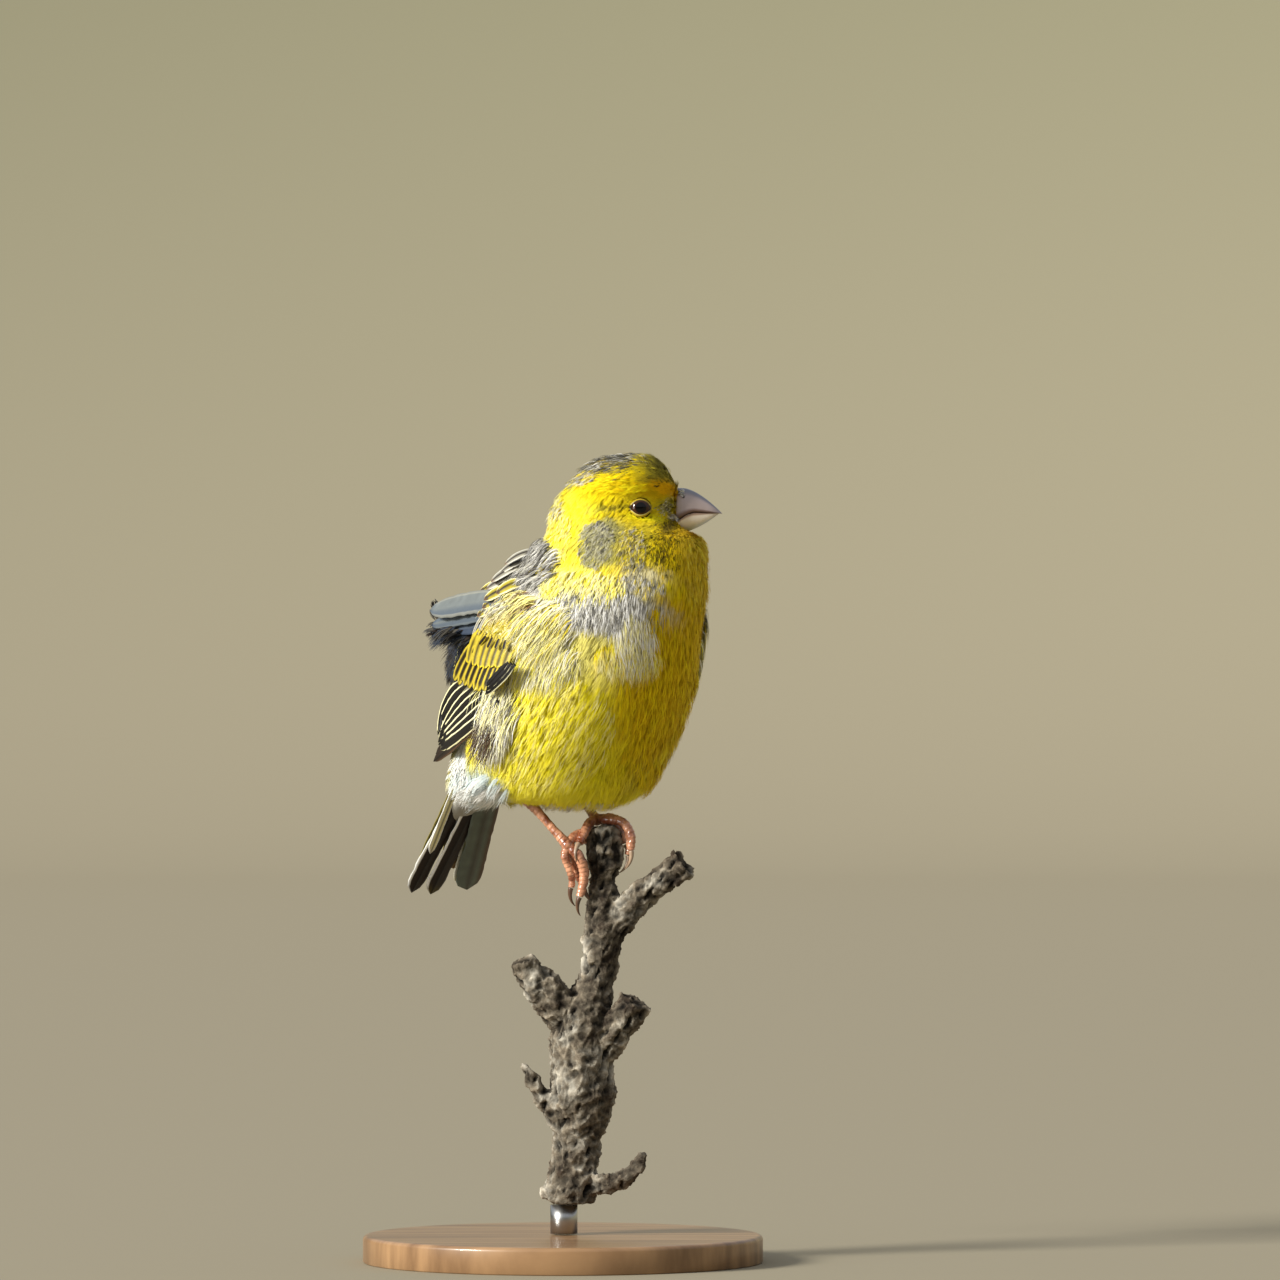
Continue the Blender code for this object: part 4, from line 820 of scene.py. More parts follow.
def make_skin(sites, material):
    """One skin for head, neck and torso, under the coat."""
    rows = np.linspace(0.02, len(BODY_SECTIONS) - 1.02, SKIN_ROWS)
    turns = np.linspace(-0.5 * math.pi, 1.5 * math.pi, SKIN_SIDES + 1)
    row, turn = (part.ravel() for part in np.meshgrid(rows, turns, indexing="ij"))
    place, _, _ = skin_frame(turn, row, sites)
    marks = marks_at(place)
    # Painted shade: the skin is a tenth darker than the plumage over it, for the shade in the gaps between feathers;
    # the streak darkening is the plumage's own.
    colours = marks["ground"] * (1.0 - 0.35 * marks["streak_amount"][:, None]) * 0.9
    triangles = grid_triangles(SKIN_ROWS, SKIN_SIDES + 1, False)
    patches = np.stack(((turn / (2 * math.pi) + 0.25) * 0.99 + 0.004, row / (len(BODY_SECTIONS) - 1) * 0.99 + 0.004), -1)
    ends = [place[:SKIN_SIDES + 1].mean(0), place[-SKIN_SIDES - 1:].mean(0)]
    count = len(place)
    columns = np.arange(SKIN_SIDES)
    top = (SKIN_ROWS - 1) * (SKIN_SIDES + 1) + columns
    caps = np.concatenate((np.stack((np.full(SKIN_SIDES, count), columns + 1, columns), -1),
                           np.stack((np.full(SKIN_SIDES, count + 1), top, top + 1), -1)))
    place = np.concatenate((place, ends))
    colours = np.concatenate((colours, colours[:1], colours[-1:]))
    patches = np.concatenate((patches, ((0.5, 0.001), (0.5, 0.999))))
    skin = new_mesh("skin", place, np.concatenate((triangles, caps)), material, colours, patches)
    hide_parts("head", "neck", "torso")
    return skin


def scattered_roots(sites, draw, spacing_at):
    """Turns, rows, places and normals of feather roots spread evenly over the skin."""
    tries = 1000000
    turn = draw.uniform(-math.pi, math.pi, tries)
    row = draw.uniform(0.05, len(BODY_SECTIONS) - 1.05, tries)
    place, normal, area = skin_frame(turn, row, sites)
    spacing = spacing_at(place)
    keep = draw.uniform(0, 1, tries) < area / np.percentile(area, 99) * 1.2
    order = draw.permutation(np.nonzero(keep)[0])
    cell = np.floor(place[order] / spacing[order][:, None]).astype(np.int64)
    key = ((cell[:, 0] + 500) * 2000 + cell[:, 1] + 500) * 2000 + cell[:, 2]
    key = key * 64 + (spacing[order] * 20).astype(np.int64)
    _, first = np.unique(key, return_index=True)
    chosen = order[first]
    return turn[chosen], row[chosen], place[chosen], normal[chosen]


def barb_arrays(root, normal, lie, length, spread, rise, droop, barbs, width, marks, patches, draw,
                arch=None, steps=(0.0, 0.35, 0.72, 1.0), shade=0.86):
    """Points, colours, patches and normals of tufts, each a fan of narrow curved barbs."""
    count, stations = len(root), len(steps)
    side = np.cross(normal, lie)
    place = np.linspace(-1.0, 1.0, barbs) if barbs > 1 else np.zeros(1)
    fan = place[None, :] + draw.normal(0.0, 0.6 / barbs, (count, barbs))
    reach = length[:, None] * (1.0 - 0.2 * fan ** 2) * draw.uniform(0.86, 1.1, (count, barbs))
    sway = draw.normal(0.0, 0.045, (count, barbs)) * length[:, None]
    lift = draw.uniform(0.75, 1.25, (count, barbs)) * rise[:, None]
    roll = draw.uniform(-0.6, 0.6, (count, barbs))
    tau = np.array(steps)
    along = reach[..., None] * tau
    across = (spread[:, None] * fan)[..., None] * tau ** 0.75 + sway[..., None] * tau ** 2
    height = lift[..., None] * (1.0 - (1.0 - tau) ** 2) - droop[:, None, None] * tau ** 2

    def spread_out(vectors):
        return vectors[:, None, None, :]

    points = spread_out(root) + spread_out(lie) * along[..., None]
    points = points + spread_out(side) * across[..., None] + spread_out(normal) * height[..., None]
    if arch is not None:
        points = points + spread_out(arch) * np.sin(math.pi * tau)[None, None, :, None]
    taper = np.interp(tau, (0.0, 0.3, 0.75, 1.0), (0.7, 1.0, 0.8, 0.0))
    wide = spread_out(side) * np.cos(roll)[..., None, None] + spread_out(normal) * np.sin(roll)[..., None, None]
    wide = wide * (width[:, None, None, None] * taper[None, None, :, None])
    edges = np.stack((points - wide, points + wide), 3)
    ground = marks["ground"] * draw.uniform(0.93, 1.06, (count, 1))
    marked = (draw.uniform(0.0, 1.0, (count, barbs)) < 0.4) * marks["streak_amount"][:, None]
    streak_share = marked * rise_between(np.abs(fan), 1.2, 0.8)
    streak_share = streak_share[..., None] * rise_between(tau, 0.15, 0.5) * rise_between(tau, 1.15, 0.85)
    tip_share = marks["tip_amount"][:, None, None] * rise_between(tau, 0.55, 1.0)
    colours = np.broadcast_to(ground[:, None, None, :], (count, barbs, stations, 3))
    colours = colours * draw.uniform(0.9, 1.08, (count, barbs, 1, 1))
    colours = colours + (marks["streak"][:, None, None, :] - colours) * streak_share[..., None]
    colours = colours + (marks["tip"][:, None, None, :] - colours) * tip_share[..., None]
    # Painted shade: each barb darkens towards its root by the shade share, partly the greyer down at feather bases and
    # partly the shade deep inside the coat.
    colours = colours * (shade + (1.0 - shade) * rise_between(tau, 0.0, 0.5))[None, None, :, None]
    facing = spread_out(normal) + spread_out(side) * (0.08 * fan)[..., None, None]
    facing = facing + spread_out(lie) * (0.2 * tau)[None, None, :, None]
    facing = unit(np.broadcast_to(facing, (count, barbs, stations, 3)))
    patch = patches[:, None, None, :] + np.stack(np.broadcast_arrays(
        (fan[..., None] * 0.3) * PATCH, (tau - 0.5)[None, None, :] * PATCH), -1)
    return edges, colours, facing, np.clip(patch, 0.0005, 0.9995)


def make_tufts(name, arrays, material):
    """Objects of tufts from their arrays, split so that none has too many triangles."""
    edges, colours, facing, patch = arrays
    count, barbs, stations = edges.shape[:3]
    blades = count * barbs
    edges = edges.reshape(blades, stations, 2, 3)
    colours = colours.reshape(blades, stations, 3)
    facing = facing.reshape(blades, stations, 3)
    patch = patch.reshape(blades, stations, 2)
    corners = 2 * stations - 1
    faces = []
    for station in range(stations - 2):
        a = station * 2
        faces += [(a, a + 1, a + 3), (a, a + 3, a + 2)]
    faces.append((corners - 3, corners - 2, corners - 1))
    faces = np.array(faces)
    repeat = [station for station in range(stations - 1) for _ in (0, 1)] + [stations - 1]
    points = np.concatenate((edges[:, :-1].reshape(blades, corners - 1, 3), edges[:, -1, :1]), 1)
    tilt = np.cross(points[:, 1] - points[:, 0], points[:, 3] - points[:, 0])
    flip = (tilt * facing[:, 0]).sum(-1) < 0
    most = PIECE_TRIANGLES // (len(faces) * barbs) * barbs
    made = []
    for number, start in enumerate(range(0, blades, most)):
        part = slice(start, min(start + most, blades))
        size = part.stop - part.start
        base = (np.arange(size) * corners)[:, None, None]
        triangles = base + faces[None]
        triangles = np.where(flip[part][:, None, None], triangles[:, :, ::-1], triangles).reshape(-1, 3)
        piece = new_mesh(f"{name}_{number + 1}", points[part].reshape(-1, 3), triangles, material,
                         colours[part][:, repeat].reshape(-1, 3), patch[part][:, repeat].reshape(-1, 2),
                         facing[part][:, repeat].reshape(-1, 3))
        made.append(piece)
    return made


def coat_spacing(points):
    """How far apart feather roots stand: finest on the face."""
    from_bill = np.linalg.norm(points - BILL_BASE, axis=-1)
    spacing = np.where(points[:, 2] > 153.0, 0.66, 0.92)
    spacing = np.where((points[:, 2] > 156.0) & (from_bill < 15.0), 0.44, spacing)
    return spacing


def coat_lengths(points, sites):
    """How long feathers are: shortest by the bill and round the eyes."""
    from_bill = np.linalg.norm(points - BILL_BASE, axis=-1)
    near_eye = eye_distance(points, sites)
    length = np.interp(points[:, 2], (100.0, 112.0, 140.0, 152.0, 160.0, 170.0, 178.0),
                       (6.0, 7.0, 7.0, 6.0, 4.6, 3.6, 3.8))
    length = np.minimum(length, 1.1 + from_bill * 0.17)
    return np.minimum(length, 0.9 + near_eye * 0.28)


def make_coat(sites, material):
    """The feathers of head, neck and torso."""
    draw = np.random.default_rng(SEED)
    turn, row, root, normal = scattered_roots(sites, draw, coat_spacing)
    near_eye = eye_distance(root, sites)
    local = (root - BILL_BASE) @ HEAD_AXES.T
    in_bill = (local[:, 0] > -1.6) & (np.abs(local[:, 1]) < 3.4) & (np.abs(local[:, 2]) < 4.0)
    keep = (near_eye > LID_EDGE - 0.1) & ~in_bill
    turn, row, root, normal = (part[keep] for part in (turn, row, root, normal))
    lie = lie_directions(root, normal)
    length = coat_lengths(root, sites) * draw.uniform(0.85, 1.15, len(root))
    over_eye = eye_distance(root + lie * length[:, None], sites) < LID_EDGE - 0.3
    length = np.where(over_eye, length * 0.4, length)
    depth = coat_depth(root)
    clump = 1.0 + 0.06 * wobble(root, 7.0, 41)
    rise = depth * draw.uniform(0.84, 1.06, len(root)) * clump
    crown = rise_between(root[:, 2], 170.0, 175.0)
    rise = rise + crown * 0.3
    droop = rise * 0.1 + length ** 2 / 60.0
    marks = marks_at(root + lie * (length * 0.75)[:, None])
    patches = skin_patches(turn, row)
    width = np.interp(length, (1.0, 3.0, 7.0), (0.05, 0.07, 0.095))
    head = root[:, 2] > 153.0
    made = []
    for name, chosen, barbs in (("coat_head", head, 9), ("coat_body", ~head, 13)):
        part = {key: values[chosen] for key, values in marks.items()}
        arrays = barb_arrays(root[chosen], normal[chosen], lie[chosen], length[chosen], length[chosen] * 0.13,
                             rise[chosen], droop[chosen], barbs, width[chosen], part, patches[chosen], draw,
                             None, (0.0, 0.5, 1.0))
        made += make_tufts(name, arrays, material)
    return made


def plume_marks(grounds, streak, tip, strength, draw, count):
    """Marks of plumes, each with one of the ground colours."""
    choice = draw.integers(0, len(grounds), count)
    return {
        "ground": np.array([screen(name) for name in grounds])[choice],
        "streak": np.tile(screen(streak), (count, 1)),
        "tip": np.tile(screen(tip), (count, 1)),
        "streak_amount": np.full(count, strength),
        "tip_amount": np.full(count, 0.45),
    }


def make_plumes(sites, material):
    """The long loose plumes of mantle, collar, bib, flanks, belly and vent, on both sides."""
    draw = np.random.default_rng(SEED + 1)
    turn = draw.uniform(-math.pi, math.pi, 160000)
    row = draw.uniform(0.05, 18.6, 160000)
    place, normal, _ = skin_frame(turn, row, sites)
    near = normal[:, 1] < 0.25
    turn, row, place, normal = (part[near] for part in (turn, row, place, normal))
    across, down = picture_place(place)
    made = []
    clear = eye_distance(place, sites) > LID_EDGE + 0.2
    turn, row, place, normal, across, down = (part[clear] for part in (turn, row, place, normal, across, down))
    tau = (0.0, 0.25, 0.5, 0.75, 1.0)
    for name, (centre, half, way, count, arch, cling, fan, grounds, streak, tip, strength) in (
            PLUMES | HEAD_PLUMES).items():
        away = np.sqrt(((across - centre[0]) / half[0]) ** 2 + ((down - centre[1]) / half[1]) ** 2)
        chosen = draw.permutation(np.nonzero(away < 1.0)[0])[:count]
        size = len(chosen)
        root, facing = place[chosen], normal[chosen]
        goal = np.array((way[0], 0.0, -way[1])) * PICTURE_STEP
        reach = np.linalg.norm(goal)
        lie = unit(goal + draw.normal(0.0, 0.09 * reach, (size, 3)))
        lie = unit(lie - facing * dot(lie, facing) * cling)
        facing = unit(facing - lie * dot(facing, lie))
        length = reach * draw.uniform(0.7, 1.1, size)
        bend = np.array((arch[0], 0.0, -arch[1])) * PICTURE_STEP * 0.6
        bend = np.tile(bend, (size, 1)) + draw.normal(0.0, 0.25, (size, 3))
        patches = skin_patches(turn[chosen], row[chosen])
        depth = coat_depth(root)
        marks = plume_marks(grounds, streak, tip, strength, draw, size)
        on_head = name in HEAD_PLUMES
        barbs = 12 if fan > 0.09 else 4
        sizes = [length, length * fan, depth + (0.15 if on_head else 0.4), depth * 0.2]
        width = np.full(size, 0.06 if on_head else 0.08)
        arrays = barb_arrays(root, facing, lie, *sizes, barbs, width, marks, patches, draw, bend, tau)
        made += make_tufts("plume_" + name, arrays, material)
        if on_head or name in ("collar", "neck", "bib", "bib_lobe", "breast"):
            continue
        hidden = mirrored(normal[chosen], True)[:, 1] > 0.1
        if not hidden.any():
            continue
        frame = [part[hidden] for part in (mirrored(root), mirrored(facing, True), mirrored(lie, True))]
        sizes = [part[hidden] for part in sizes]
        marks = {key: values[hidden] for key, values in marks.items()}
        arrays = barb_arrays(*frame, *sizes, 9, width[hidden] * 1.3, marks, patches[hidden], draw,
                             mirrored(bend, True)[hidden], tau)
        made += make_tufts("plume_far_" + name, arrays, material)
    return made


def wing_frame(along, across, lift, sign):
    """World place, and the across and outward directions, of a point of the wing."""
    table = np.array(WING_EDGE)
    place = np.interp(along, table[:, 0], np.arange(len(table)))
    row = smooth_table(WING_EDGE, place)
    nearby = smooth_table(WING_EDGE, max(place - 0.05, 0.0))
    beyond = smooth_table(WING_EDGE, min(place + 0.05, len(table) - 1.0))
    run = unit(bird_direction(*(beyond - nearby)[1:4]))
    out = bird_direction(*row[4:7])
    out = unit(out - run * (out @ run))
    rise = np.cross(out, run)
    rise = rise if rise[2] > 0 else -rise
    wrap = WING_WRAP * across * across
    bend = math.atan(2 * WING_WRAP * across)
    spot = from_bird(*row[1:4]) + rise * across - out * wrap
    over = unit(rise * math.cos(bend) - out * math.sin(bend))
    facing = unit(out * math.cos(bend) + rise * math.sin(bend))
    spot = spot + facing * lift
    if sign < 0:
        return mirrored(spot), mirrored(over, True), mirrored(facing, True)
    return spot, over, facing


def tilted(over, facing, degrees):
    """The across and facing directions of a vane rolled about its shaft, its far edge sinking."""
    roll = math.radians(degrees)
    return over * math.cos(roll) - facing * math.sin(roll), facing * math.cos(roll) + over * math.sin(roll)


def vane_width(share, tip):
    """Share of the full width at a place along a vane; tip is where its rounding starts."""
    grow = 0.4 + 0.6 * rise_between(share, 0.0, 0.3)
    end = np.clip((share - tip) / (1.0 - tip), 0.0, 1.0)
    return grow * np.sqrt(np.clip(1.0 - end ** 2.2, 0.002, 1.0))


def vane_points(place, half_width, tip, narrow, draw):
    """Grids of the upper and lower faces of a feather's vane."""
    shares = np.linspace(0.0, 1.0, VANE_STEPS) ** 0.9
    columns = np.array(VANE_ACROSS)
    upper, lower = [], []
    notch = draw.normal(0.0, 0.035, (VANE_STEPS, 2))
    for index, share in enumerate(shares):
        spot, over, facing = place(share)
        width = half_width * vane_width(share, tip)
        fringe = 1.0 + np.where(columns < 0, notch[index, 0], notch[index, 1]) * (np.abs(columns) > 0.7)
        reach = columns * width * np.where(columns < 0, narrow, 1.0) * fringe
        camber = -0.10 * reach ** 2 / half_width + 0.10 * np.exp(-(columns / 0.08) ** 2)
        point = spot + over * reach[:, None] + facing * camber[:, None]
        upper.append(point)
        lower.append(point - facing * VANE_THICKNESS)
    return np.array(upper), np.array(lower), shares


def vane_faces():
    """Triangles of one closed vane whose upper grid comes before its lower one."""
    columns = len(VANE_ACROSS)
    size = VANE_STEPS * columns
    top = grid_triangles(VANE_STEPS, columns, False)
    faces = [top, top[:, ::-1] + size]
    row = np.arange(VANE_STEPS - 1) * columns
    for edge, turned in ((0, False), (columns - 1, True)):
        a, b = row + edge, row + edge + columns
        side = np.concatenate((np.stack((a, b, b + size), -1), np.stack((a, b + size, a + size), -1)))
        faces.append(side[:, ::-1] if turned else side)
    column = np.arange(columns - 1)
    for start, turned in ((0, True), ((VANE_STEPS - 1) * columns, False)):
        a, b = start + column, start + column + 1
        side = np.concatenate((np.stack((a, b, b + size), -1), np.stack((a, b + size, a + size), -1)))
        faces.append(side[:, ::-1] if turned else side)
    return np.concatenate(faces)


def vane_colours(shares, look, draw):
    """Colours of a vane's upper and lower faces: its middle, the edges, the shaft and the tip."""
    middle, edge, under, shaft, tip, edge_share, low_side, pattern = look
    columns = np.array(VANE_ACROSS)[None, :, None]
    along = shares[:, None, None]
    grain = draw.uniform(0.9, 1.1, (len(shares), 1, 1)) * draw.uniform(0.93, 1.07, (len(shares), columns.shape[1], 1))
    upper = np.broadcast_to(screen(middle), (len(shares), columns.shape[1], 3)) * grain
    if pattern == "streaked":
        share = rise_between(np.abs(columns), 0.5, 0.25) * rise_between(along, 0.2, 0.4)
        upper = upper + (screen("brown_black") - upper) * share
    if pattern == "tipped":
        share = rise_between(np.abs(columns), 0.5, 0.2) * rise_between(along, 0.3, 0.7)
        share = np.maximum(share, rise_between(along, 0.84, 0.94))
        upper = upper + (screen("brown_black") - upper) * share
    if pattern == "barred":
        share = rise_between(np.abs(columns), 0.62, 0.36) * rise_between(along, 0.1, 0.3) * rise_between(along, 0.94, 0.8)
        upper = upper + (screen("brown_black") - upper) * share
    # Painted shade: the vane darkens across towards one edge, the edge turned from the light.
    if pattern == "shaded":
        share = rise_between(columns, -0.6, 0.8) * np.ones_like(along)
        upper = upper + (screen("blue_grey") * 0.8 - upper) * share
    if pattern == "warm":
        share = rise_between(columns, 0.5, 0.9) * np.ones_like(along)
        upper = upper + (screen("brown") * 0.5 - upper) * share
    rim = columns < -0.75 if low_side else np.abs(columns) > 0.75
    rim_share = edge_share * rim * rise_between(along, 0.0, 0.2)
    upper = upper + (screen(edge) - upper) * rim_share
    upper = upper + (screen(tip) - upper) * rise_between(along, 0.9, 1.0) * 0.8
    spine = (np.abs(columns) < 0.08).astype(float)
    upper = upper + (screen(shaft) - upper) * spine * 0.7
    lower = np.broadcast_to(screen(under), upper.shape) * grain
    lower = lower + (screen(edge) - lower) * rim_share * 0.6
    lower = lower + (screen(shaft) - lower) * spine * 0.5
    lower = lower + (screen(tip) - lower) * rise_between(along, 0.88, 1.0) * 0.8
    return upper, lower


# Looks of the long feathers: middle, edge, underside, shaft and tip colours, how much the edge shows, whether
# it shows on the low side alone, and the pattern of the middle.
LOOKS = {
    "wing_tip": ("brown_black", "brown", "dark_grey", "black", "brown_black", 0.4, True, None),
    "primary": ("black", "cream", "dark_grey", "black", "black", 1.0, False, None),
    "secondary": ("black", "pale_lemon", "dark_grey", "black", "black", 1.0, False, None),
    "tertial": ("brown_black", "grey_white", "blue_grey", "black", "brown", 0.8, False, None),
    "primary_covert": ("black", "cream", "grey", "black", "black", 0.7, True, None),
    "greater_covert": ("wing_gold", "wing_gold", "grey", "black", "olive_yellow", 0.6, False, "barred"),
    "median_covert": ("wing_gold", "olive_yellow", "grey", "dark_olive", "yellow", 0.5, False, "streaked"),
    "spot_covert": ("brown_black", "yellow", "grey", "black", "black", 0.5, False, None),
    "pale_covert": ("grey", "grey_white", "grey", "grey", "grey", 0.9, False, None),
    # Painted shade: the two lower lifted looks are the pale underside made darker for the shade under it.
    "lifted_pale": ("pale_blue", "grey", "pale_blue", "pale_blue", "blue_grey", 0.4, False, "shaded"),
    "lifted_half_shade": ("blue_grey", "pale_blue", "blue_grey", "pale_blue", "slate", 0.4, False, "shaded"),
    "lifted_deep_shade": ("slate", "slate", "slate", "blue_grey", "black", 0.5, False, None),
    "mantle": ("grey", "grey_white", "grey", "brown_black", "brown", 0.6, False, "streaked"),
    "shoulder": ("olive_yellow", "cream", "grey", "brown_black", "brown", 0.8, False, "tipped"),
    "tail_top": ("brown_black", "olive_yellow", "tail_olive", "black", "brown", 0.6, False, None),
    "tail_outer": ("cream", "white", "cream", "black", "grey_white", 1.0, False, None),
    "tail_dark": ("brown_black", "white", "brown_black", "black", "brown_black", 1.0, True, None),
    "tail_edged": ("brown_black", "white", "tail_olive", "black", "dark_olive", 1.0, True, None),
    "tail_pale": ("grey_olive", "grey_white", "green_grey", "dark_grey", "grey_olive", 0.8, True, None),
    "tail_broad": ("tail_grey", "tail_grey", "tail_grey", "dark_grey", "tail_grey", 0.0, True, "warm"),
}


def vane_object(name, feathers, material, draw):
    """One object of many vanes, each given by place, half width, tip, narrowness and look."""
    columns = len(VANE_ACROSS)
    faces = vane_faces()
    cells = math.ceil(math.sqrt(len(feathers) * 2))
    points, colours, patches, triangles = [], [], [], []
    total = 0
    for index, (place, half_width, tip, narrow, look, sign) in enumerate(feathers):
        upper, lower, shares = vane_points(place, half_width, tip, narrow, draw)
        paint = vane_colours(shares, LOOKS[look], draw)
        across = (np.array(VANE_ACROSS)[None, :] * 0.42 + 0.5) * np.ones((VANE_STEPS, 1))
        along = shares[:, None] * 0.9 + 0.05 * np.ones((1, columns))
        for layer, grid in enumerate((upper, lower)):
            cell = index * 2 + layer
            corner = np.array((cell % cells, cell // cells))
            patch = (np.stack((across, along * np.ones_like(across)), -1) + corner) / cells
            points.append(grid.reshape(-1, 3))
            colours.append(paint[layer].reshape(-1, 3))
            patches.append(patch.reshape(-1, 2))
        triangles.append((faces if sign > 0 else faces[:, ::-1]) + total)
        total += 2 * VANE_STEPS * columns
    return new_mesh(name, np.concatenate(points), np.concatenate(triangles), material,
                    np.concatenate(colours), np.concatenate(patches))


def wing_sheet():
    """The wing's leading edge as it is seen: across, down and depth, by rising across."""
    spots = np.array([wing_frame(along, 0.0, 0.0, 1.0)[0] for along in range(0, 67, 3)])
    across, down = picture_place(spots)
    order = np.argsort(across)
    return across[order], down[order], spots[order, 1]


def sheet_depth(sheet, across, down):
    """Depth of a smooth sheet over the wing, which leans back as it rises from the leading edge."""
    edge_down = np.interp(across, sheet[0], sheet[1])
    return np.interp(across, sheet[0], sheet[2]) + SHEET_RISE * PICTURE_STEP * (edge_down - down)


def sheet_spot(sheet, seen, before):
    """World place and outward direction of the wing's sheet where it is seen at a picture place."""
    spots = []
    for step in ((0.0, 0.0), (4.0, 0.0), (0.0, 4.0)):
        across, down = seen[0] + step[0], seen[1] + step[1]
        spots.append(from_picture(across, down, float(sheet_depth(sheet, across, down)) - before))
    facing = unit(np.cross(spots[1] - spots[0], spots[2] - spots[0]))
    return spots[0], facing if facing[1] < 0 else -facing


def wing_feathers(sheet, looks, sign, draw):
    """The feathers of the rows with the given looks on the folded wing."""
    feathers = []
    for look, half_width, count, first_root, last_root, first_tip, last_tip, bulge, first_bow, last_bow, *gaps in WING_ROWS:
        if look not in looks:
            continue
        for index in range(count):
            share = index / (count - 1)
            root = np.array(first_root) * (1 - share) + np.array(last_root) * share
            tip = np.array(first_tip) * (1 - share) + np.array(last_tip) * share
            tip = tip + np.array(bulge) * math.sin(math.pi * share) + draw.uniform(-1.1, 1.1, 2)
            bow = np.array(first_bow) * (1 - share) + np.array(last_bow) * share

            def place(part, root=root, tip=tip, bow=bow, front=gaps[0] + gaps[1] * index):
                seen = [root + (tip - root) * step + bow * math.sin(math.pi * step) for step in (part, part + 0.03)]
                spot, facing = sheet_spot(sheet, seen[0], front)
                ahead, _ = sheet_spot(sheet, seen[1], front)
                side = unit(np.cross(facing, unit(ahead - spot)))
                side = side if side[2] - side[0] > 0 else -side
                side, facing = tilted(side, facing, WING_ROLL)
                if sign < 0:
                    return mirrored(spot), mirrored(side, True), mirrored(facing, True)
                return spot, side, facing

            feathers.append((place, half_width, 0.7 if half_width > 1.3 else 0.8, 0.9, look, sign))
    return feathers


def from_picture(across, down, depth):
    """World place of a point seen from the front at a picture place, at a depth behind the stem."""
    return np.array(((across - PICTURE_ORIGIN[0]) * PICTURE_STEP, depth, (PICTURE_ORIGIN[1] - down) * PICTURE_STEP))


def lifted_feathers(draw):
    """Feathers that stand off the right wing, a little curled towards their tips."""
    feathers = []
    for look, half_width, root, tip in LIFTED:
        start, end = from_picture(*root), from_picture(*tip)
        along = unit(end - start)
        face = np.array(LIFTED_FACE)
        face = unit(face - along * (face @ along))
        over = np.cross(face, along)
        curl = draw.uniform(0.4, 0.8)

        def place(part, start=start, end=end, face=face, over=over, curl=curl):
            bow = UP * (LIFTED_BOW * math.sin(math.pi * part))
            return start + (end - start) * part + bow + face * (curl * (part ** 3 - part * 0.3)), over, face

        feathers.append((place, half_width, 0.62, 1.0, look, 1.0))
    return feathers


def frayed_tips(sheet, material, draw):
    """Dark curled barbs at the worn tips of the lifted feathers, and down beside the wing whose near-black is partly
    painted shade under the lifted feathers.
    """
    made = []
    for number, (first, last, depths, way, lengths, count) in enumerate(FRAYED):
        seen = draw.uniform(first, last, (count, 2))
        depth = draw.uniform(*depths, count) if depths else sheet_depth(sheet, seen[:, 0], seen[:, 1]) + 1.5
        root = np.array([from_picture(across, down, back) for (across, down), back in zip(seen, depth)])
        lie = unit(np.array(way) + draw.normal(0.0, 0.14, (count, 3)))
        facing = np.tile(unit(np.array(LIFTED_FACE)), (count, 1))
        facing = unit(facing - lie * dot(lie, facing))
        length = draw.uniform(*lengths, count)
        # Painted shade: near-black colours, the down's own grey-blue darkened for the shade under the lifted feathers.
        marks = plume_marks(("black", "slate", "brown_black", "dark_grey", "slate"), "black", "dark_grey", 0.4, draw, count)
        patches = draw.uniform(0.1, 0.9, (count, 2))
        arch = np.tile((-0.3, 0.0, 0.2), (count, 1))
        arrays = barb_arrays(root, facing, lie, length, length * 0.16, np.full(count, 0.2), np.full(count, 0.1), 7,
                             np.full(count, 0.07), marks, patches, draw, arch, (0.0, 0.25, 0.5, 0.75, 1.0))
        made += make_tufts("wing_frayed_" + str(number + 1), arrays, material)
    return made


def mantle_feathers(sites, draw):
    """The broad streaked feathers of mantle and shoulder, rooted on the body and reaching over the wing."""
    turn, row = (part.ravel() for part in np.meshgrid(np.linspace(0.6, 3.2, 260), np.linspace(6.0, 11.0, 240)))
    place, normal, _ = skin_frame(turn, row, sites)
    across, down = picture_place(place)
    feathers = []
    for first, last, way, count, half_width, look in MANTLE_ROWS:
        for index in range(count):
            share = index / (count - 1)
            goal = np.array(first) * (1 - share) + np.array(last) * share + draw.uniform(-2.0, 2.0, 2)
            nearest = np.argmin((across - goal[0]) ** 2 + (down - goal[1]) ** 2 + (normal[:, 1] > 0.3) * 900.0)
            start, face = place[nearest], normal[nearest]
            step = np.array((way[0], 0.0, -way[1])) * PICTURE_STEP * draw.uniform(0.85, 1.15)
            step = step + draw.uniform(-0.8, 0.8, 3)
            end = start + step - face * (step @ face) * 0.3 + face * 0.6
            along = unit(end - start)
            face = unit(face * 0.6 + np.array((-0.25, -0.75, 0.6)))
            face = unit(face - along * (face @ along))
            over = np.cross(face, along)

            def feather_place(part, start=start, end=end, face=face, over=over):
                lift = 1.6 * math.sin(math.pi * min(part * 0.8 + 0.1, 1.0))
                return start + (end - start) * part + face * lift, over, face

            feathers.append((feather_place, half_width, 0.6, 1.0, look, 1.0))
    return feathers


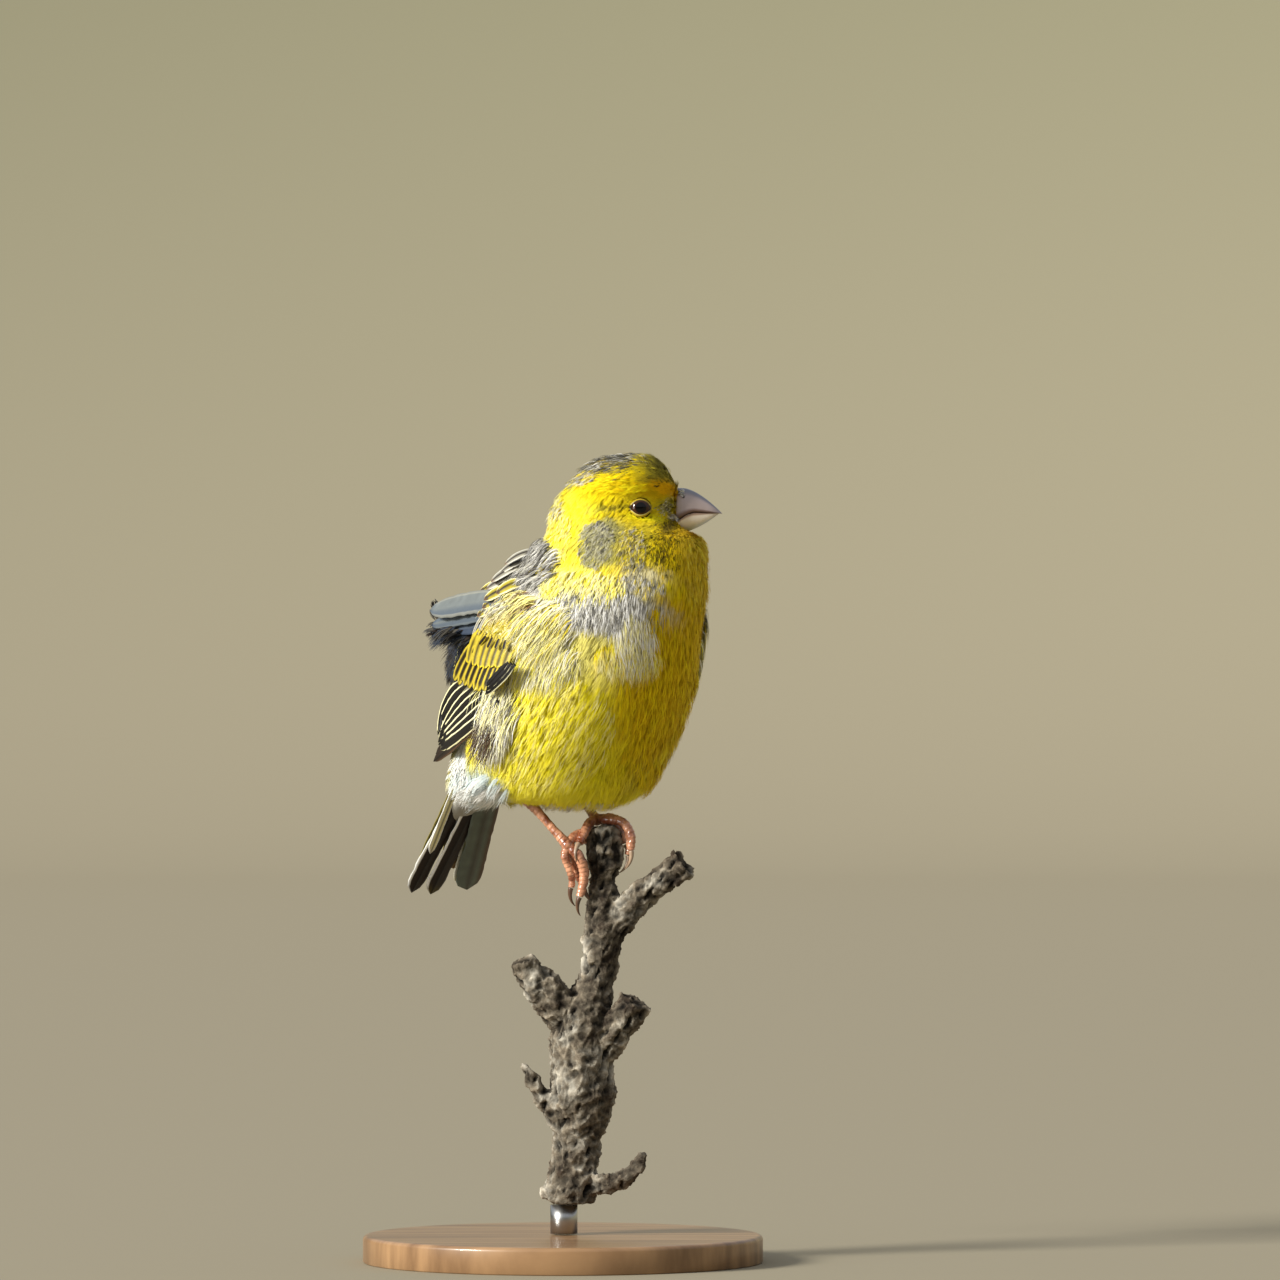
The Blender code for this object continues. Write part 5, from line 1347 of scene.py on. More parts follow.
def wing_core_tufts(sign, name, material, draw):
    """The small coverts: bright yellow tufts over the fleshy part of the wing."""
    count = 2600
    table = np.array(WING_CORE)
    along = draw.uniform(0.5, 27.0, count)
    share = draw.uniform(0.0, 1.0, count)
    low = np.interp(along, table[:, 0], table[:, 1])
    high = np.interp(along, table[:, 0], table[:, 2])
    half = np.interp(along, table[:, 0], table[:, 3])
    across = low + (high - low) * share
    seen = np.array([picture_place(wing_frame(a, b, 2.0, 1.0)[0]) for a, b in zip(along, across)])
    keep = (seen[:, 1] < 634.0) | ((seen[:, 0] > 508.0) & (seen[:, 1] < 664.0))
    along, across, share, half = (part[keep] for part in (along, across, share, half))
    lift = half * (0.1 + 0.8 * np.sqrt(np.clip(1.0 - (2 * share - 1.0) ** 2, 0.0, 1.0)))
    frames = [wing_frame(a, b, c, sign) for a, b, c in zip(along, across, lift)]
    root, over, facing = (np.array(part) for part in zip(*frames))
    ahead = np.array([wing_frame(a + 1.0, b, c, sign)[0] for a, b, c in zip(along, across, lift)])
    lie = unit(ahead - root)
    length = draw.uniform(2.6, 4.0, len(root))
    marks = plume_marks(("wing_gold", "cream", "olive_yellow", "grey_olive"), "brown", "yellow", 0.5, draw, len(root))
    leading = rise_between(across, 3.5, 1.0)
    marks["ground"] += (screen("grey_white") - marks["ground"]) * leading[:, None] * 0.8
    top = rise_between(across, 12.0, 16.0)
    marks["ground"] += (screen("grey") - marks["ground"]) * top[:, None] * 0.8
    marks["streak_amount"] = np.maximum(marks["streak_amount"], 0.5 * top)
    patches = np.stack((along / 34.0 * 0.98 + 0.01, share * 0.98 + 0.01), -1)
    size = len(root)
    arrays = barb_arrays(root, facing, lie, length, length * 0.22, np.full(size, 1.0), np.full(size, 0.6), 13,
                         np.full(size, 0.1), marks, patches, draw)
    return make_tufts(name, arrays, material)


def wing_core(name, sign, material):
    """The smooth form under the small coverts."""
    rows = smooth_table(WING_CORE, np.linspace(0, len(WING_CORE) - 1, 17))
    sides = 24
    points = []
    for along, low, high, half in rows:
        for side in range(sides):
            angle = 2 * math.pi * side / sides
            across = (low + high) / 2 + (high - low) / 2 * math.cos(angle)
            lift = half * (0.1 + 0.5 * math.sin(angle))
            points.append(wing_frame(along, across, lift, sign)[0])
    triangles = grid_triangles(len(rows), sides, True)
    fan = [(0, side, side + 1) for side in range(1, sides - 1)]
    last = (len(rows) - 1) * sides
    fan += [(last, last + side + 1, last + side) for side in range(1, sides - 1)]
    triangles = np.concatenate((triangles, np.array(fan)))
    points = np.array(points)
    # Painted shade: the core is a dark olive, a third of the coverts' colour, for the shade in the gaps between the
    # tufts over it.
    colours = np.tile(screen("olive_yellow") * 0.35, (len(points), 1))
    return new_mesh(name, points, triangles, material, colours)


def make_wing(side, sign, sites, materials):
    """One folded wing: its core, its tiers of long feathers and its small coverts."""
    draw = np.random.default_rng(SEED + (2 if sign > 0 else 3))
    core = wing_core("wing_core_" + side, sign, materials["plumage"])
    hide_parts("wing_" + side)
    made = [core]
    sheet = wing_sheet()
    flight = ("wing_tip", "primary", "secondary") + (() if sign > 0 else ("tertial",))
    coverts = ("greater_covert", "median_covert", "spot_covert") + (("primary_covert", "pale_covert") if sign > 0 else ())
    for name, looks in (("wing_flight_", flight), ("wing_coverts_", coverts)):
        feathers = wing_feathers(sheet, looks, sign, draw)
        made.append(vane_object(name + side, feathers, materials["vane"], draw))
    if sign > 0:
        made.append(vane_object("wing_lifted", lifted_feathers(draw), materials["vane"], draw))
        made += frayed_tips(sheet, materials["plumage"], draw)
        made.append(vane_object("mantle_feathers", mantle_feathers(sites, draw), materials["vane"], draw))
    made += wing_core_tufts(sign, "wing_small_coverts_" + side, materials["plumage"], draw)
    return made


def tail_axes():
    """Along, right and top directions of the tail."""
    dip = math.radians(TAIL_DIP)
    along = bird_direction(-math.cos(dip), 0.0, -math.sin(dip))
    top = bird_direction(-math.sin(dip), 0.0, math.cos(dip))
    return along, RIGHT, top


def from_tail(along, right, top):
    """World place of a point measured from the tail's root."""
    axes = tail_axes()
    return from_bird(*TAIL_ROOT) + axes[0] * along + axes[1] * (right + along * TAIL_SWING) + axes[2] * top


def tail_place(seen, level):
    """World place of a point of the tail seen from the front, at a level over its middle plane."""
    along, right, top = tail_axes()
    start = from_bird(*TAIL_ROOT) + top * level
    goal = from_picture(*seen, 0.0) - start
    ways = np.array((along[[0, 2]], right[[0, 2]])).T
    shares = np.linalg.solve(ways, goal[[0, 2]])
    return start + along * shares[0] + right * shares[1]


def under_feathers():
    """The undermost feathers of the tail, that show from the front."""
    feathers = []
    for look, half_width, root, tip, level in TAIL_UNDER:
        start, end = tail_place(root, level + 1.4), tail_place(tip, level)
        facing = -tail_axes()[2]
        shaft = unit(end - start)
        facing = unit(facing - shaft * (facing @ shaft))
        over = np.cross(facing, shaft)
        over = over if over[0] > 0 else -over

        def place(part, start=start, end=end, over=over, facing=facing):
            return start + (end - start) * part, over, facing

        feathers.append((place, half_width, 0.86, 1.0, look, -1.0))
    return feathers


def make_tail(materials):
    """The tail: its twelve feathers and the soft coverts round their roots."""
    draw = np.random.default_rng(SEED + 5)
    feathers = []
    for side in (-1.0, 1.0):
        over, facing = tilted(RIGHT * side, tail_axes()[2], TAIL_TILT)
        for index in range(TAIL_PAIRS):
            share = (index / (TAIL_PAIRS - 1)) ** 0.5
            root = np.array(TAIL_ROOTS[0]) * (1 - share) + np.array(TAIL_ROOTS[1]) * share
            tip = np.array(TAIL_TIPS[0]) * (1 - share) + np.array(TAIL_TIPS[1]) * share
            tip = tip + draw.uniform(-1, 1, 3) * np.array(TIP_SPREAD)

            def place(part, root=root, tip=tip, side=side, over=over, facing=facing):
                along, right, top = root + (tip - root) * part
                return from_tail(along, right * side, top), over, facing

            feathers.append((place, TAIL_HALF_WIDTH, 0.8, 0.8, "tail_top", -side))
    feathers += under_feathers()
    vanes = vane_object("tail_feathers", feathers, materials["vane"], draw)
    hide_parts("tail")
    return [vanes] + make_tail_coverts(materials["plumage"], draw)


def make_tail_coverts(material, draw):
    """The soft plumage round the roots of the tail feathers."""
    sides = 32
    rows = smooth_table(TAIL_CORE, np.linspace(0, len(TAIL_CORE) - 1, 21))
    points = []
    for along, half_width, half_height, middle in rows:
        for side in range(sides):
            angle = 2 * math.pi * side / sides
            points.append(from_tail(along, (half_width - 0.6) * math.cos(angle),
                                    middle + (half_height - 0.4) * math.sin(angle)))
    points = np.array(points)
    last = (len(rows) - 1) * sides
    fan = [(0, side, side + 1) for side in range(1, sides - 1)]
    fan += [(last, last + side + 1, last + side) for side in range(1, sides - 1)]
    triangles = np.concatenate((grid_triangles(len(rows), sides, True), np.array(fan)))
    # Painted shade: the core is grey-white at half brightness, for the shade in the gaps between the covert tufts.
    core = new_mesh("tail_core", points, triangles, material, np.tile(screen("grey_white") * 0.5, (len(points), 1)))
    count = 1500
    place = draw.uniform(0.0, 2.3, count)
    angle = draw.uniform(0, 2 * math.pi, count)
    table = smooth_table(TAIL_CORE, place)
    roots = []
    ways = []
    for (along, half_width, half_height, middle), turn in zip(table, angle):
        top = middle + (half_height - 0.3) * math.sin(turn)
        roots.append(from_tail(along, (half_width - 0.5) * math.cos(turn), top))
        ways.append(RIGHT * math.cos(turn) / max(half_width, 1.0) + tail_axes()[2] * math.sin(turn) / max(half_height, 1.0))
    root, facing = np.array(roots), unit(np.array(ways))
    lie = np.tile(tail_axes()[0], (count, 1)) + draw.normal(0.0, 0.1, (count, 3))
    lie = unit(lie - facing * dot(lie, facing))
    length = draw.uniform(5.0, 7.5, count)
    marks = plume_marks(("blue_white", "white"), "grey", "white", 0.2, draw, count)
    upper = rise_between(np.sin(angle), 0.0, 0.5)
    above = plume_marks(("olive_yellow", "yellow", "grey_olive", "olive"), "dark_olive", "pale_lemon", 0.6, draw, count)
    for name, values in marks.items():
        marks[name] = values + (above[name] - values) * (upper if values.ndim == 1 else upper[:, None])
    patches = np.stack((angle / (2 * math.pi) * 0.98 + 0.01, place / len(TAIL_CORE) * 0.98 + 0.01), -1)
    arrays = barb_arrays(root, facing, lie, length, length * 0.2, np.full(count, 1.2), np.full(count, 0.8), 13,
                         np.full(count, 0.1), marks, patches, draw)
    return [core] + make_tufts("tail_coverts", arrays, material)


def mandible(name, sizes, sign, material):
    """One half of the bill: a pointed dome over a flat cutting edge, drawn down to its tip."""
    length, rise, half_width = sizes
    shares = np.concatenate((-np.linspace(BILL_ROOT / length, 0.02, 4), np.linspace(0.0, 0.995, 44) ** 0.9))
    angles = np.linspace(0.0, math.pi, 37)
    points, colours = [], []
    for share in shares:
        inside = max(share, 0.0)
        height = rise * (1.0 - inside ** 1.55) * sign
        width = half_width * (1.0 - inside) ** 0.72
        droop = -TIP_DROOP * inside ** 2 if sign > 0 else TIP_RISE * inside
        lip = 0.12 * (1.0 - inside)
        for angle in angles:
            out = width * math.cos(angle) * (1.0 + lip * math.exp(-(math.sin(angle) / 0.12) ** 2) * 0.4)
            keel = 0.05 * height * math.exp(-(math.cos(angle) / 0.2) ** 2)
            edge = -GAPE_DROP * (1.0 - min(share / GAPE_LENGTH, 1.0)) ** 1.6 * (1.0 - math.sin(angle) ** 0.7)
            up = BILL_GAP / 2 * sign + height * math.sin(angle) ** 0.85 + keel + droop + edge
            points.append(from_head(BILL_GAP / 2 + length * share, out, up))
            colours.append(bill_colour(inside, angle, sign))
    rows, columns = len(shares), len(angles)
    tip = from_head(BILL_GAP / 2 + length, 0.0, BILL_GAP * 0.9 * sign + (-TIP_DROOP if sign > 0 else TIP_RISE))
    points.append(tip)
    colours.append(colours[-1])
    triangles = [tuple(face) for face in grid_triangles(rows, columns, True)]
    last = (rows - 1) * columns
    triangles += [(last + side, last + (side + 1) % columns, rows * columns) for side in range(columns)]
    triangles += [(0, side + 1, side) for side in range(1, columns - 1)]
    triangles = np.array(triangles)
    if sign < 0:
        triangles = triangles[:, ::-1]
    made = new_mesh(name, np.array(points), triangles, material, np.array(colours))
    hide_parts(name)
    return made


def bill_colour(share, angle, sign):
    """Colour of the horn: darker along the ridge and the cutting edge, palest on the sides."""
    ridge = math.sin(angle)
    if sign > 0:
        colour = mixed((174, 156, 150), (96, 96, 108), rise_between(ridge, 0.66, 0.98))
        colour = mixed_linear(colour, mixed((96, 62, 46), (96, 62, 46), 0.0), rise_between(ridge, 0.16, 0.04))
        return mixed_linear(colour, mixed((84, 78, 86), (84, 78, 86), 0.0), rise_between(share, 0.6, 1.0) * 0.5)
    colour = mixed((246, 232, 214), (204, 208, 210), rise_between(ridge, 0.6, 1.0))
    colour = mixed_linear(colour, mixed((150, 96, 60), (150, 96, 60), 0.0), rise_between(ridge, 0.2, 0.05) * 0.8)
    return mixed_linear(colour, mixed((150, 132, 128), (150, 132, 128), 0.0), rise_between(share, 0.7, 1.0) * 0.4)


def linear(red, green, blue):
    """A screen colour in linear light."""
    values = np.array((red, green, blue)) / 255.0
    return np.where(values <= 0.04045, values / 12.92, ((values + 0.055) / 1.055) ** 2.4)


def mixed(first, second, share):
    """A mix of two screen colours in linear light."""
    return linear(*first) * (1 - share) + linear(*second) * share


def mixed_linear(first, second, share):
    """A mix of two linear colours."""
    return first * (1 - share) + second * share


def make_bill(material):
    """The two mandibles and the mouth between them, whose dark brown is painted shade in the gap."""
    made = [mandible("bill_upper", UPPER_BILL, 1.0, material), mandible("bill_lower", LOWER_BILL, -1.0, material)]
    shares = np.linspace(-0.2, 0.86, 14)
    points, count = [], len(shares)
    for level in (0.35, -0.35):
        for side in (1.0, -1.0):
            for share in shares:
                width = (LOWER_BILL[2] - 0.35) * (1.0 - max(share, 0.0)) ** 0.72
                points.append(from_head(LOWER_BILL[0] * share, width * side, level))
    loops = [list(range(count)), list(range(count, 2 * count)), list(range(2 * count, 3 * count)),
             list(range(3 * count, 4 * count))]
    faces = []
    for a, b in ((0, 1), (1, 3), (3, 2), (2, 0)):
        for step in range(count - 1):
            p, q, r, s = loops[a][step], loops[b][step], loops[b][step + 1], loops[a][step + 1]
            faces += [(p, q, r), (p, r, s)]
    for end in (0, count - 1):
        faces += [(loops[0][end], loops[1][end], loops[3][end]), (loops[0][end], loops[3][end], loops[2][end])]
    # Painted shade: the mouth's dark brown stands for the shade inside the gap between the mandibles.
    mouth = new_mesh("bill_mouth", np.array(points), np.array(faces), material,
                     np.tile(linear(70, 38, 28), (len(points), 1)))
    made.append(mouth)
    made += make_nostrils(material)
    return made


def make_nostrils(material):
    """The small openings of the nostrils near the top of the bill's base, as flattened discs whose dark colour is
    painted shade in the holes.
    """
    made = []
    for side, sign in (("right", -1.0), ("left", 1.0)):
        centre = from_head(0.5, sign * 2.75, 3.3)
        outward = unit(HEAD_AXES[1] * sign * 0.8 + HEAD_AXES[2] * 0.6)
        points, triangles = ball_arrays(centre, 0.26, 16, 12)
        flat = points - centre
        points = centre + flat - outward * dot(flat, outward) * 0.7
        # Painted shade: the dark colour stands for the inside of the opening.
        made.append(new_mesh("nostril_" + side, points, triangles, material,
                             np.tile(linear(40, 28, 26), (len(points), 1))))
    return made


def ball_arrays(centre, radius, sides, rows):
    """Points and triangles of a ball."""
    points = []
    for row in range(1, rows):
        polar = math.pi * row / rows
        for side in range(sides):
            angle = 2 * math.pi * side / sides
            points.append((math.sin(polar) * math.cos(angle), math.sin(polar) * math.sin(angle), math.cos(polar)))
    points += [(0.0, 0.0, 1.0), (0.0, 0.0, -1.0)]
    triangles = [tuple(face) for face in grid_triangles(rows - 1, sides, True)[:, ::-1]]
    last = (rows - 2) * sides
    top, bottom = len(points) - 2, len(points) - 1
    for side in range(sides):
        following = (side + 1) % sides
        triangles += [(top, side, following), (bottom, last + following, last + side)]
    return centre + np.array(points) * radius, np.array(triangles)


def eye_material():
    """A wet dark eye: black pupil, dark brown iris, clear gloss."""
    material = make_material("eye", 0.08, specular=0.3)
    tree, shader = nodes_of(material)
    paint = tree.nodes.new("ShaderNodeAttribute")
    paint.attribute_name = "paint"
    tree.links.new(paint.outputs["Color"], shader.inputs["Base Color"])
    return material


def make_eye(side, site, materials):
    """The eyeball and the lids round its opening."""
    centre, outward, forward, rise = site
    points, triangles = ball_arrays(np.zeros(3), 1.0, 64, 48)
    axes = np.array((forward, rise, outward))
    away = np.hypot(points[:, 0], points[:, 1])
    iris = rise_between(away, 0.42, 0.5) * (points[:, 2] > 0)
    edge = rise_between(away, 0.66, 0.78)
    colours = linear(6, 4, 4) + (linear(58, 32, 18) - linear(6, 4, 4)) * iris[:, None]
    colours = colours + (linear(10, 7, 6) - colours) * edge[:, None]
    ball = new_mesh("eye_" + side, centre + (points * EYE_RADIUS) @ axes, triangles, materials["eye"], colours)
    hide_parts("eye_" + side)
    return [ball, make_lids(side, site, materials["lid"])]


def make_lids(side, site, material):
    """The bare rims of the eyelids, drawn out to a corner fore and aft."""
    centre, outward, forward, rise = site
    around = 72
    profile = ((0.0, -0.05), (0.03, 0.03), (0.10, 0.09), (0.22, 0.12), (0.40, 0.12), (0.60, 0.06), (1.0, -0.3))
    points, colours = [], []
    for step in range(around):
        angle = 2 * math.pi * step / around
        corner = abs(math.cos(angle)) ** 14 * 0.4
        direction = forward * math.cos(angle) + rise * math.sin(angle)
        inner = 1.0 / math.hypot(math.cos(angle) / EYE_OPENING[0], math.sin(angle) / EYE_OPENING[1]) + corner
        bump = 1.0 + 0.25 * math.sin(angle * 23.0)
        for out, up in profile:
            reach = inner + 0.8 * out
            level = math.sqrt(max(EYE_RADIUS ** 2 - min(reach, 2.6) ** 2, 0.3)) + up * bump
            points.append(centre + direction * reach + outward * level)
            share = 0.5 + 0.5 * math.sin(angle * 13.0)
            pale = mixed((196, 180, 96), (84, 70, 32), share * rise_between(math.sin(angle), -0.8, 0.6))
            dark = linear(30, 22, 16)
            near = pale if math.sin(angle) < 0.35 and corner < 0.2 else mixed((84, 70, 32), (84, 70, 32), 0.0)
            colours.append(dark if out < 0.1 else near if out < 0.3 else linear(182, 156, 34))
    triangles = grid_triangles(around, len(profile), False)
    wrap = []
    last = (around - 1) * len(profile)
    for row in range(len(profile) - 1):
        a, b = last + row, row
        wrap += [(a, a + 1, b + 1), (a, b + 1, b)]
    triangles = np.concatenate((triangles, np.array(wrap)))
    return new_mesh("lids_" + side, np.array(points), triangles, material, np.array(colours))


def tube_arrays(rows, sides, swell=None, end_tip=None):
    """Points and triangles of a closed tube along a path of points with radii."""
    rows = np.asarray(rows, float)
    centres = rows[:, :3]
    across = None
    points = []
    for index in range(len(rows)):
        along = unit(centres[min(index + 1, len(rows) - 1)] - centres[max(index - 1, 0)])
        if across is None:
            helper = np.array((0.0, 1.0, 0.0)) if abs(along[1]) < 0.9 else np.array((1.0, 0.0, 0.0))
            across = np.cross(along, helper)
        across = unit(across - along * (across @ along))
        over = np.cross(along, across)
        for side in range(sides):
            angle = 2 * math.pi * side / sides
            direction = across * math.cos(angle) + over * math.sin(angle)
            radius = rows[index, 3] + (swell(index, direction) if swell else 0.0)
            points.append(centres[index] + direction * radius)
    ends = [centres[0], centres[-1] if end_tip is None else end_tip]
    first, last = len(points), (len(rows) - 1) * sides
    triangles = [tuple(face) for face in grid_triangles(len(rows), sides, True)]
    for side in range(sides):
        following = (side + 1) % sides
        triangles += [(first, following, side), (first + 1, last + side, last + following)]
    return np.concatenate((np.array(points), np.array(ends))), np.array(triangles)


def scaly_tube(rows, step_length, pads):
    """A limb's tube with the stepped edges of its scutes in front and soft pads behind."""
    fine = smooth_table(rows, np.linspace(0, len(rows) - 1, (len(rows) - 1) * 22 + 1))
    lengths = np.concatenate(((0.0,), np.cumsum(np.linalg.norm(np.diff(fine[:, :3], axis=0), axis=1))))
    phase = np.mod(lengths / step_length, 1.0)
    away = fine[:, :3] - np.array((*STEM_AXIS, 90.0))
    away[:, 2] = 0.0
    away = unit(away)

    def swell(index, direction):
        front = rise_between(float(direction @ away[index]), -0.2, 0.4)
        scute = SCUTE_STEP * (phase[index] - 0.35) * front
        groove = -0.09 * math.exp(-((phase[index] - 0.5) / 0.09) ** 2) * (1.0 - front) * pads
        pad = PAD_SWELL * abs(math.sin(math.pi * lengths[index] / (step_length * 2.1))) * (1.0 - front) * pads
        return scute + groove + pad

    return tube_arrays(fine, LIMB_SIDES, swell)


def leg_material():
    """Glossy pink-brown scaly skin."""
    material = make_material("leg", 0.3, specular=0.55, coat=0.5)
    tree, shader = nodes_of(material)
    spots = noise_node(tree, 420.0, 3.0)
    ramp = tree.nodes.new("ShaderNodeValToRGB")
    ramp.color_ramp.elements[0].position = 0.36
    ramp.color_ramp.elements[1].position = 0.66
    ramp.color_ramp.elements[0].color = (*linear(118, 62, 38), 1.0)
    ramp.color_ramp.elements[1].color = (*linear(220, 158, 122), 1.0)
    tree.links.new(spots.outputs["Fac"], ramp.inputs["Fac"])
    tree.links.new(ramp.outputs["Color"], shader.inputs["Base Color"])
    add_bump(tree, shader, noise_node(tree, 1500.0, 2.0), 0.4)
    return material


def make_legs(material):
    """Both bare shanks and feet, one piece each as in the frame."""
    made = []
    for side, rows in SHANKS.items():
        points, triangles = scaly_tube(rows, SCUTE_LENGTH, 0.3)
        shank = new_mesh("shank_" + side, points, triangles, material)
        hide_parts("shank_" + side)
        parts = [ball_arrays(np.array(rows[-1][:3]), 1.4, 24, 16)]
        parts += [scaly_tube(toe, 1.0, 1.0) for name, toe in TOES.items() if name.startswith(side)]
        total, all_points, all_triangles = 0, [], []
        for points, triangles in parts:
            all_points.append(points)
            all_triangles.append(triangles + total)
            total += len(points)
        foot = new_mesh("foot_" + side, np.concatenate(all_points), np.concatenate(all_triangles), material)
        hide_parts("foot_" + side)
        made += [shank, foot]
    return made


def claw_rows(rows):
    """Points with radii of a claw curling on from its toe's last pad."""
    end = np.array(rows[-1][:3])
    along = unit(end - np.array(rows[-2][:3]))
    inward = np.array((*STEM_AXIS, end[2])) - end
    inward = unit(inward - along * (inward @ along))
    place = end + along * (rows[-1][3] * 0.35)
    steps = 20
    result = []
    for step in range(steps + 1):
        share = step / steps
        result.append((*place, CLAW_RADIUS * 1.08 * (1.0 - share) ** 0.8 + CLAW_TIP_RADIUS))
        turn = math.radians(CLAW_CURL) * (share - 0.15)
        place = place + (along * math.cos(turn) + inward * math.sin(turn)) * CLAW_LENGTH / steps
    return result


def horn_material(name, dark, pale):
    """Horn that runs between two colours."""
    material = make_material(name, 0.3, specular=0.5, coat=0.3)
    tree, shader = nodes_of(material)
    spots = noise_node(tree, 260.0, 2.0)
    ramp = tree.nodes.new("ShaderNodeValToRGB")
    ramp.color_ramp.elements[0].position = 0.35
    ramp.color_ramp.elements[1].position = 0.7
    ramp.color_ramp.elements[0].color = (*linear(*dark), 1.0)
    ramp.color_ramp.elements[1].color = (*linear(*pale), 1.0)
    tree.links.new(spots.outputs["Fac"], ramp.inputs["Fac"])
    tree.links.new(ramp.outputs["Color"], shader.inputs["Base Color"])
    return material


def make_claws(materials):
    """The eight claws; the left foot's are paler."""
    made = []
    for name, rows in TOES.items():
        points, triangles = tube_arrays(claw_rows(rows), 14)
        side = name.split("_")[0]
        claw = new_mesh("claw_" + name, points, triangles, materials["claw_" + side])
        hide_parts("claw_" + name)
        made.append(claw)
    return made


def bark_material():
    """Weathered grey bark with a little lichen; the mesh's paint darkens cracks and hollows with painted shade and
    lightens ridges with painted light over their own weathered paleness.
    """
    material = make_material("bark", 0.9, specular=0.15)
    tree, shader = nodes_of(material)
    broad = noise_node(tree, 130.0, 6.0)
    broad.inputs["Roughness"].default_value = 0.7
    ramp = tree.nodes.new("ShaderNodeValToRGB")
    stops = ramp.color_ramp.elements
    stops[0].position, stops[0].color = 0.38, (*linear(66, 56, 46), 1.0)
    stops[1].position, stops[1].color = 0.64, (*linear(196, 190, 176), 1.0)
    middle = stops.new(0.5)
    middle.color = (*linear(132, 122, 106), 1.0)
    tree.links.new(broad.outputs["Fac"], ramp.inputs["Fac"])
    painted_relief_shading = tree.nodes.new("ShaderNodeAttribute")
    painted_relief_shading.attribute_name = "paint"
    mix = tree.nodes.new("ShaderNodeMix")
    mix.data_type = "RGBA"
    mix.blend_type = "MULTIPLY"
    mix.inputs["Factor"].default_value = 1.0
    tree.links.new(ramp.outputs["Color"], mix.inputs["A"])
    tree.links.new(painted_relief_shading.outputs["Color"], mix.inputs["B"])
    tree.links.new(mix.outputs["Result"], shader.inputs["Base Color"])
    add_bump(tree, shader, noise_node(tree, 700.0, 5.0), 0.9, 0.0004)
    return material


def ridges(points, size, seed):
    """Sharp ridges: high along the lines where two smooth noises are nearly zero."""
    first = np.abs(wobble(points * np.array((1.0, 1.0, 0.55)), size, seed))
    second = np.abs(wobble(points * np.array((1.0, 1.0, 0.75)), size * 0.6, seed + 1))
    return np.exp(-(first / 0.16) ** 2) * 0.6 + np.exp(-(second / 0.2) ** 2) * 0.4


def hollowed(points):
    """How far points of the stem sink into its hollows and the broken cup at the end of its right branch."""
    sink = np.zeros(len(points))
    for place, radius, depth in STEM_HOLLOWS:
        away = np.linalg.norm(points - np.array(place), axis=1)
        sink += depth * np.exp(-(away / radius) ** 2)
    end, axis = np.array(CUP_END), unit(np.array(CUP_AXIS))
    offset = points - end
    along = offset @ axis
    away = np.linalg.norm(offset - along[:, None] * axis, axis=1) / CUP_RADIUS
    cup = CUP_DEPTH * np.clip(1.0 - away ** 2, 0.0, 1.0) * rise_between(along, -1.6, -0.4)
    rim = np.exp(-((away - 1.1) / 0.25) ** 2) * rise_between(along, -1.4, -0.4)
    return sink, cup, rim, axis


def make_perch(frame, material):
    """The dead stem: the frame's own form, made finer and given cracked, ridged bark."""
    source = frame["nodes"]["perch"]
    copy = bpy.data.objects.new("stem", source.data.copy())
    bpy.context.scene.collection.objects.link(copy)
    remesh = copy.modifiers.new("remesh", "REMESH")
    remesh.mode = "VOXEL"
    remesh.voxel_size = 0.0004
    smooth = copy.modifiers.new("smooth", "SMOOTH")
    smooth.iterations = 6
    depsgraph = bpy.context.evaluated_depsgraph_get()
    mesh = bpy.data.meshes.new_from_object(copy.evaluated_get(depsgraph))
    copy.modifiers.clear()
    copy.data = mesh
    count = len(mesh.vertices)
    points = np.zeros(count * 3, np.float32)
    mesh.vertices.foreach_get("co", points)
    points = points.reshape(-1, 3).astype(float) / MM
    normals = np.zeros(count * 3, np.float32)
    mesh.vertices.foreach_get("normal", normals)
    normals = normals.reshape(-1, 3).astype(float)
    high = ridges(points, 4.6, 61)
    lumps = wobble(points, 3.2, 63) * 0.22 + wobble(points, 1.5, 64) * 0.12
    pits = np.clip(wobble(points, 2.6, 66) - 0.75, 0.0, 1.0)
    relief = high * 0.6 + lumps - pits * 1.5 - 0.2
    sink, cup, rim, axis = hollowed(points)
    points = points + normals * (relief - sink)[:, None] - axis * cup[:, None]
    points[:, 2] = np.maximum(points[:, 2], 12.9)
    mesh.vertices.foreach_set("co", (points * MM).astype(np.float32).ravel())
    # Painted shade and light: darker into cracks, hollows and the broken cup, lighter on raised ridges over their own
    # weathered paleness, and paler round the cup's rim.
    shade = np.clip(0.6 + relief * 1.1 - sink * 0.7 - cup * 0.3 + rim * 0.7, 0.06, 1.4)
    paint = mesh.color_attributes.new("paint", "FLOAT_COLOR", "POINT")
    colours = np.ones((count, 4), np.float32)
    colours[:, :3] = shade[:, None] * np.array((1.0, 0.98, 0.95))
    paint.data.foreach_set("color", colours.ravel())
    mesh.polygons.foreach_set("use_smooth", np.ones(len(mesh.polygons), dtype=bool))
    mesh.materials.clear()
    mesh.materials.append(material)
    mesh.update()
    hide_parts("perch")
    return [copy]


def turned_arrays(profile, sides):
    """Points and triangles of a solid turned about the upright axis from a profile of radius and height."""
    points = [(radius * math.cos(2 * math.pi * side / sides), radius * math.sin(2 * math.pi * side / sides), height)
              for radius, height in profile for side in range(sides)]
    first = len(points)
    points += [(0.0, 0.0, profile[0][1]), (0.0, 0.0, profile[-1][1])]
    last = (len(profile) - 1) * sides
    triangles = [tuple(face) for face in grid_triangles(len(profile), sides, True)]
    for side in range(sides):
        following = (side + 1) % sides
        triangles += [(first, following, side), (first + 1, last + side, last + following)]
    return np.array(points), np.array(triangles)


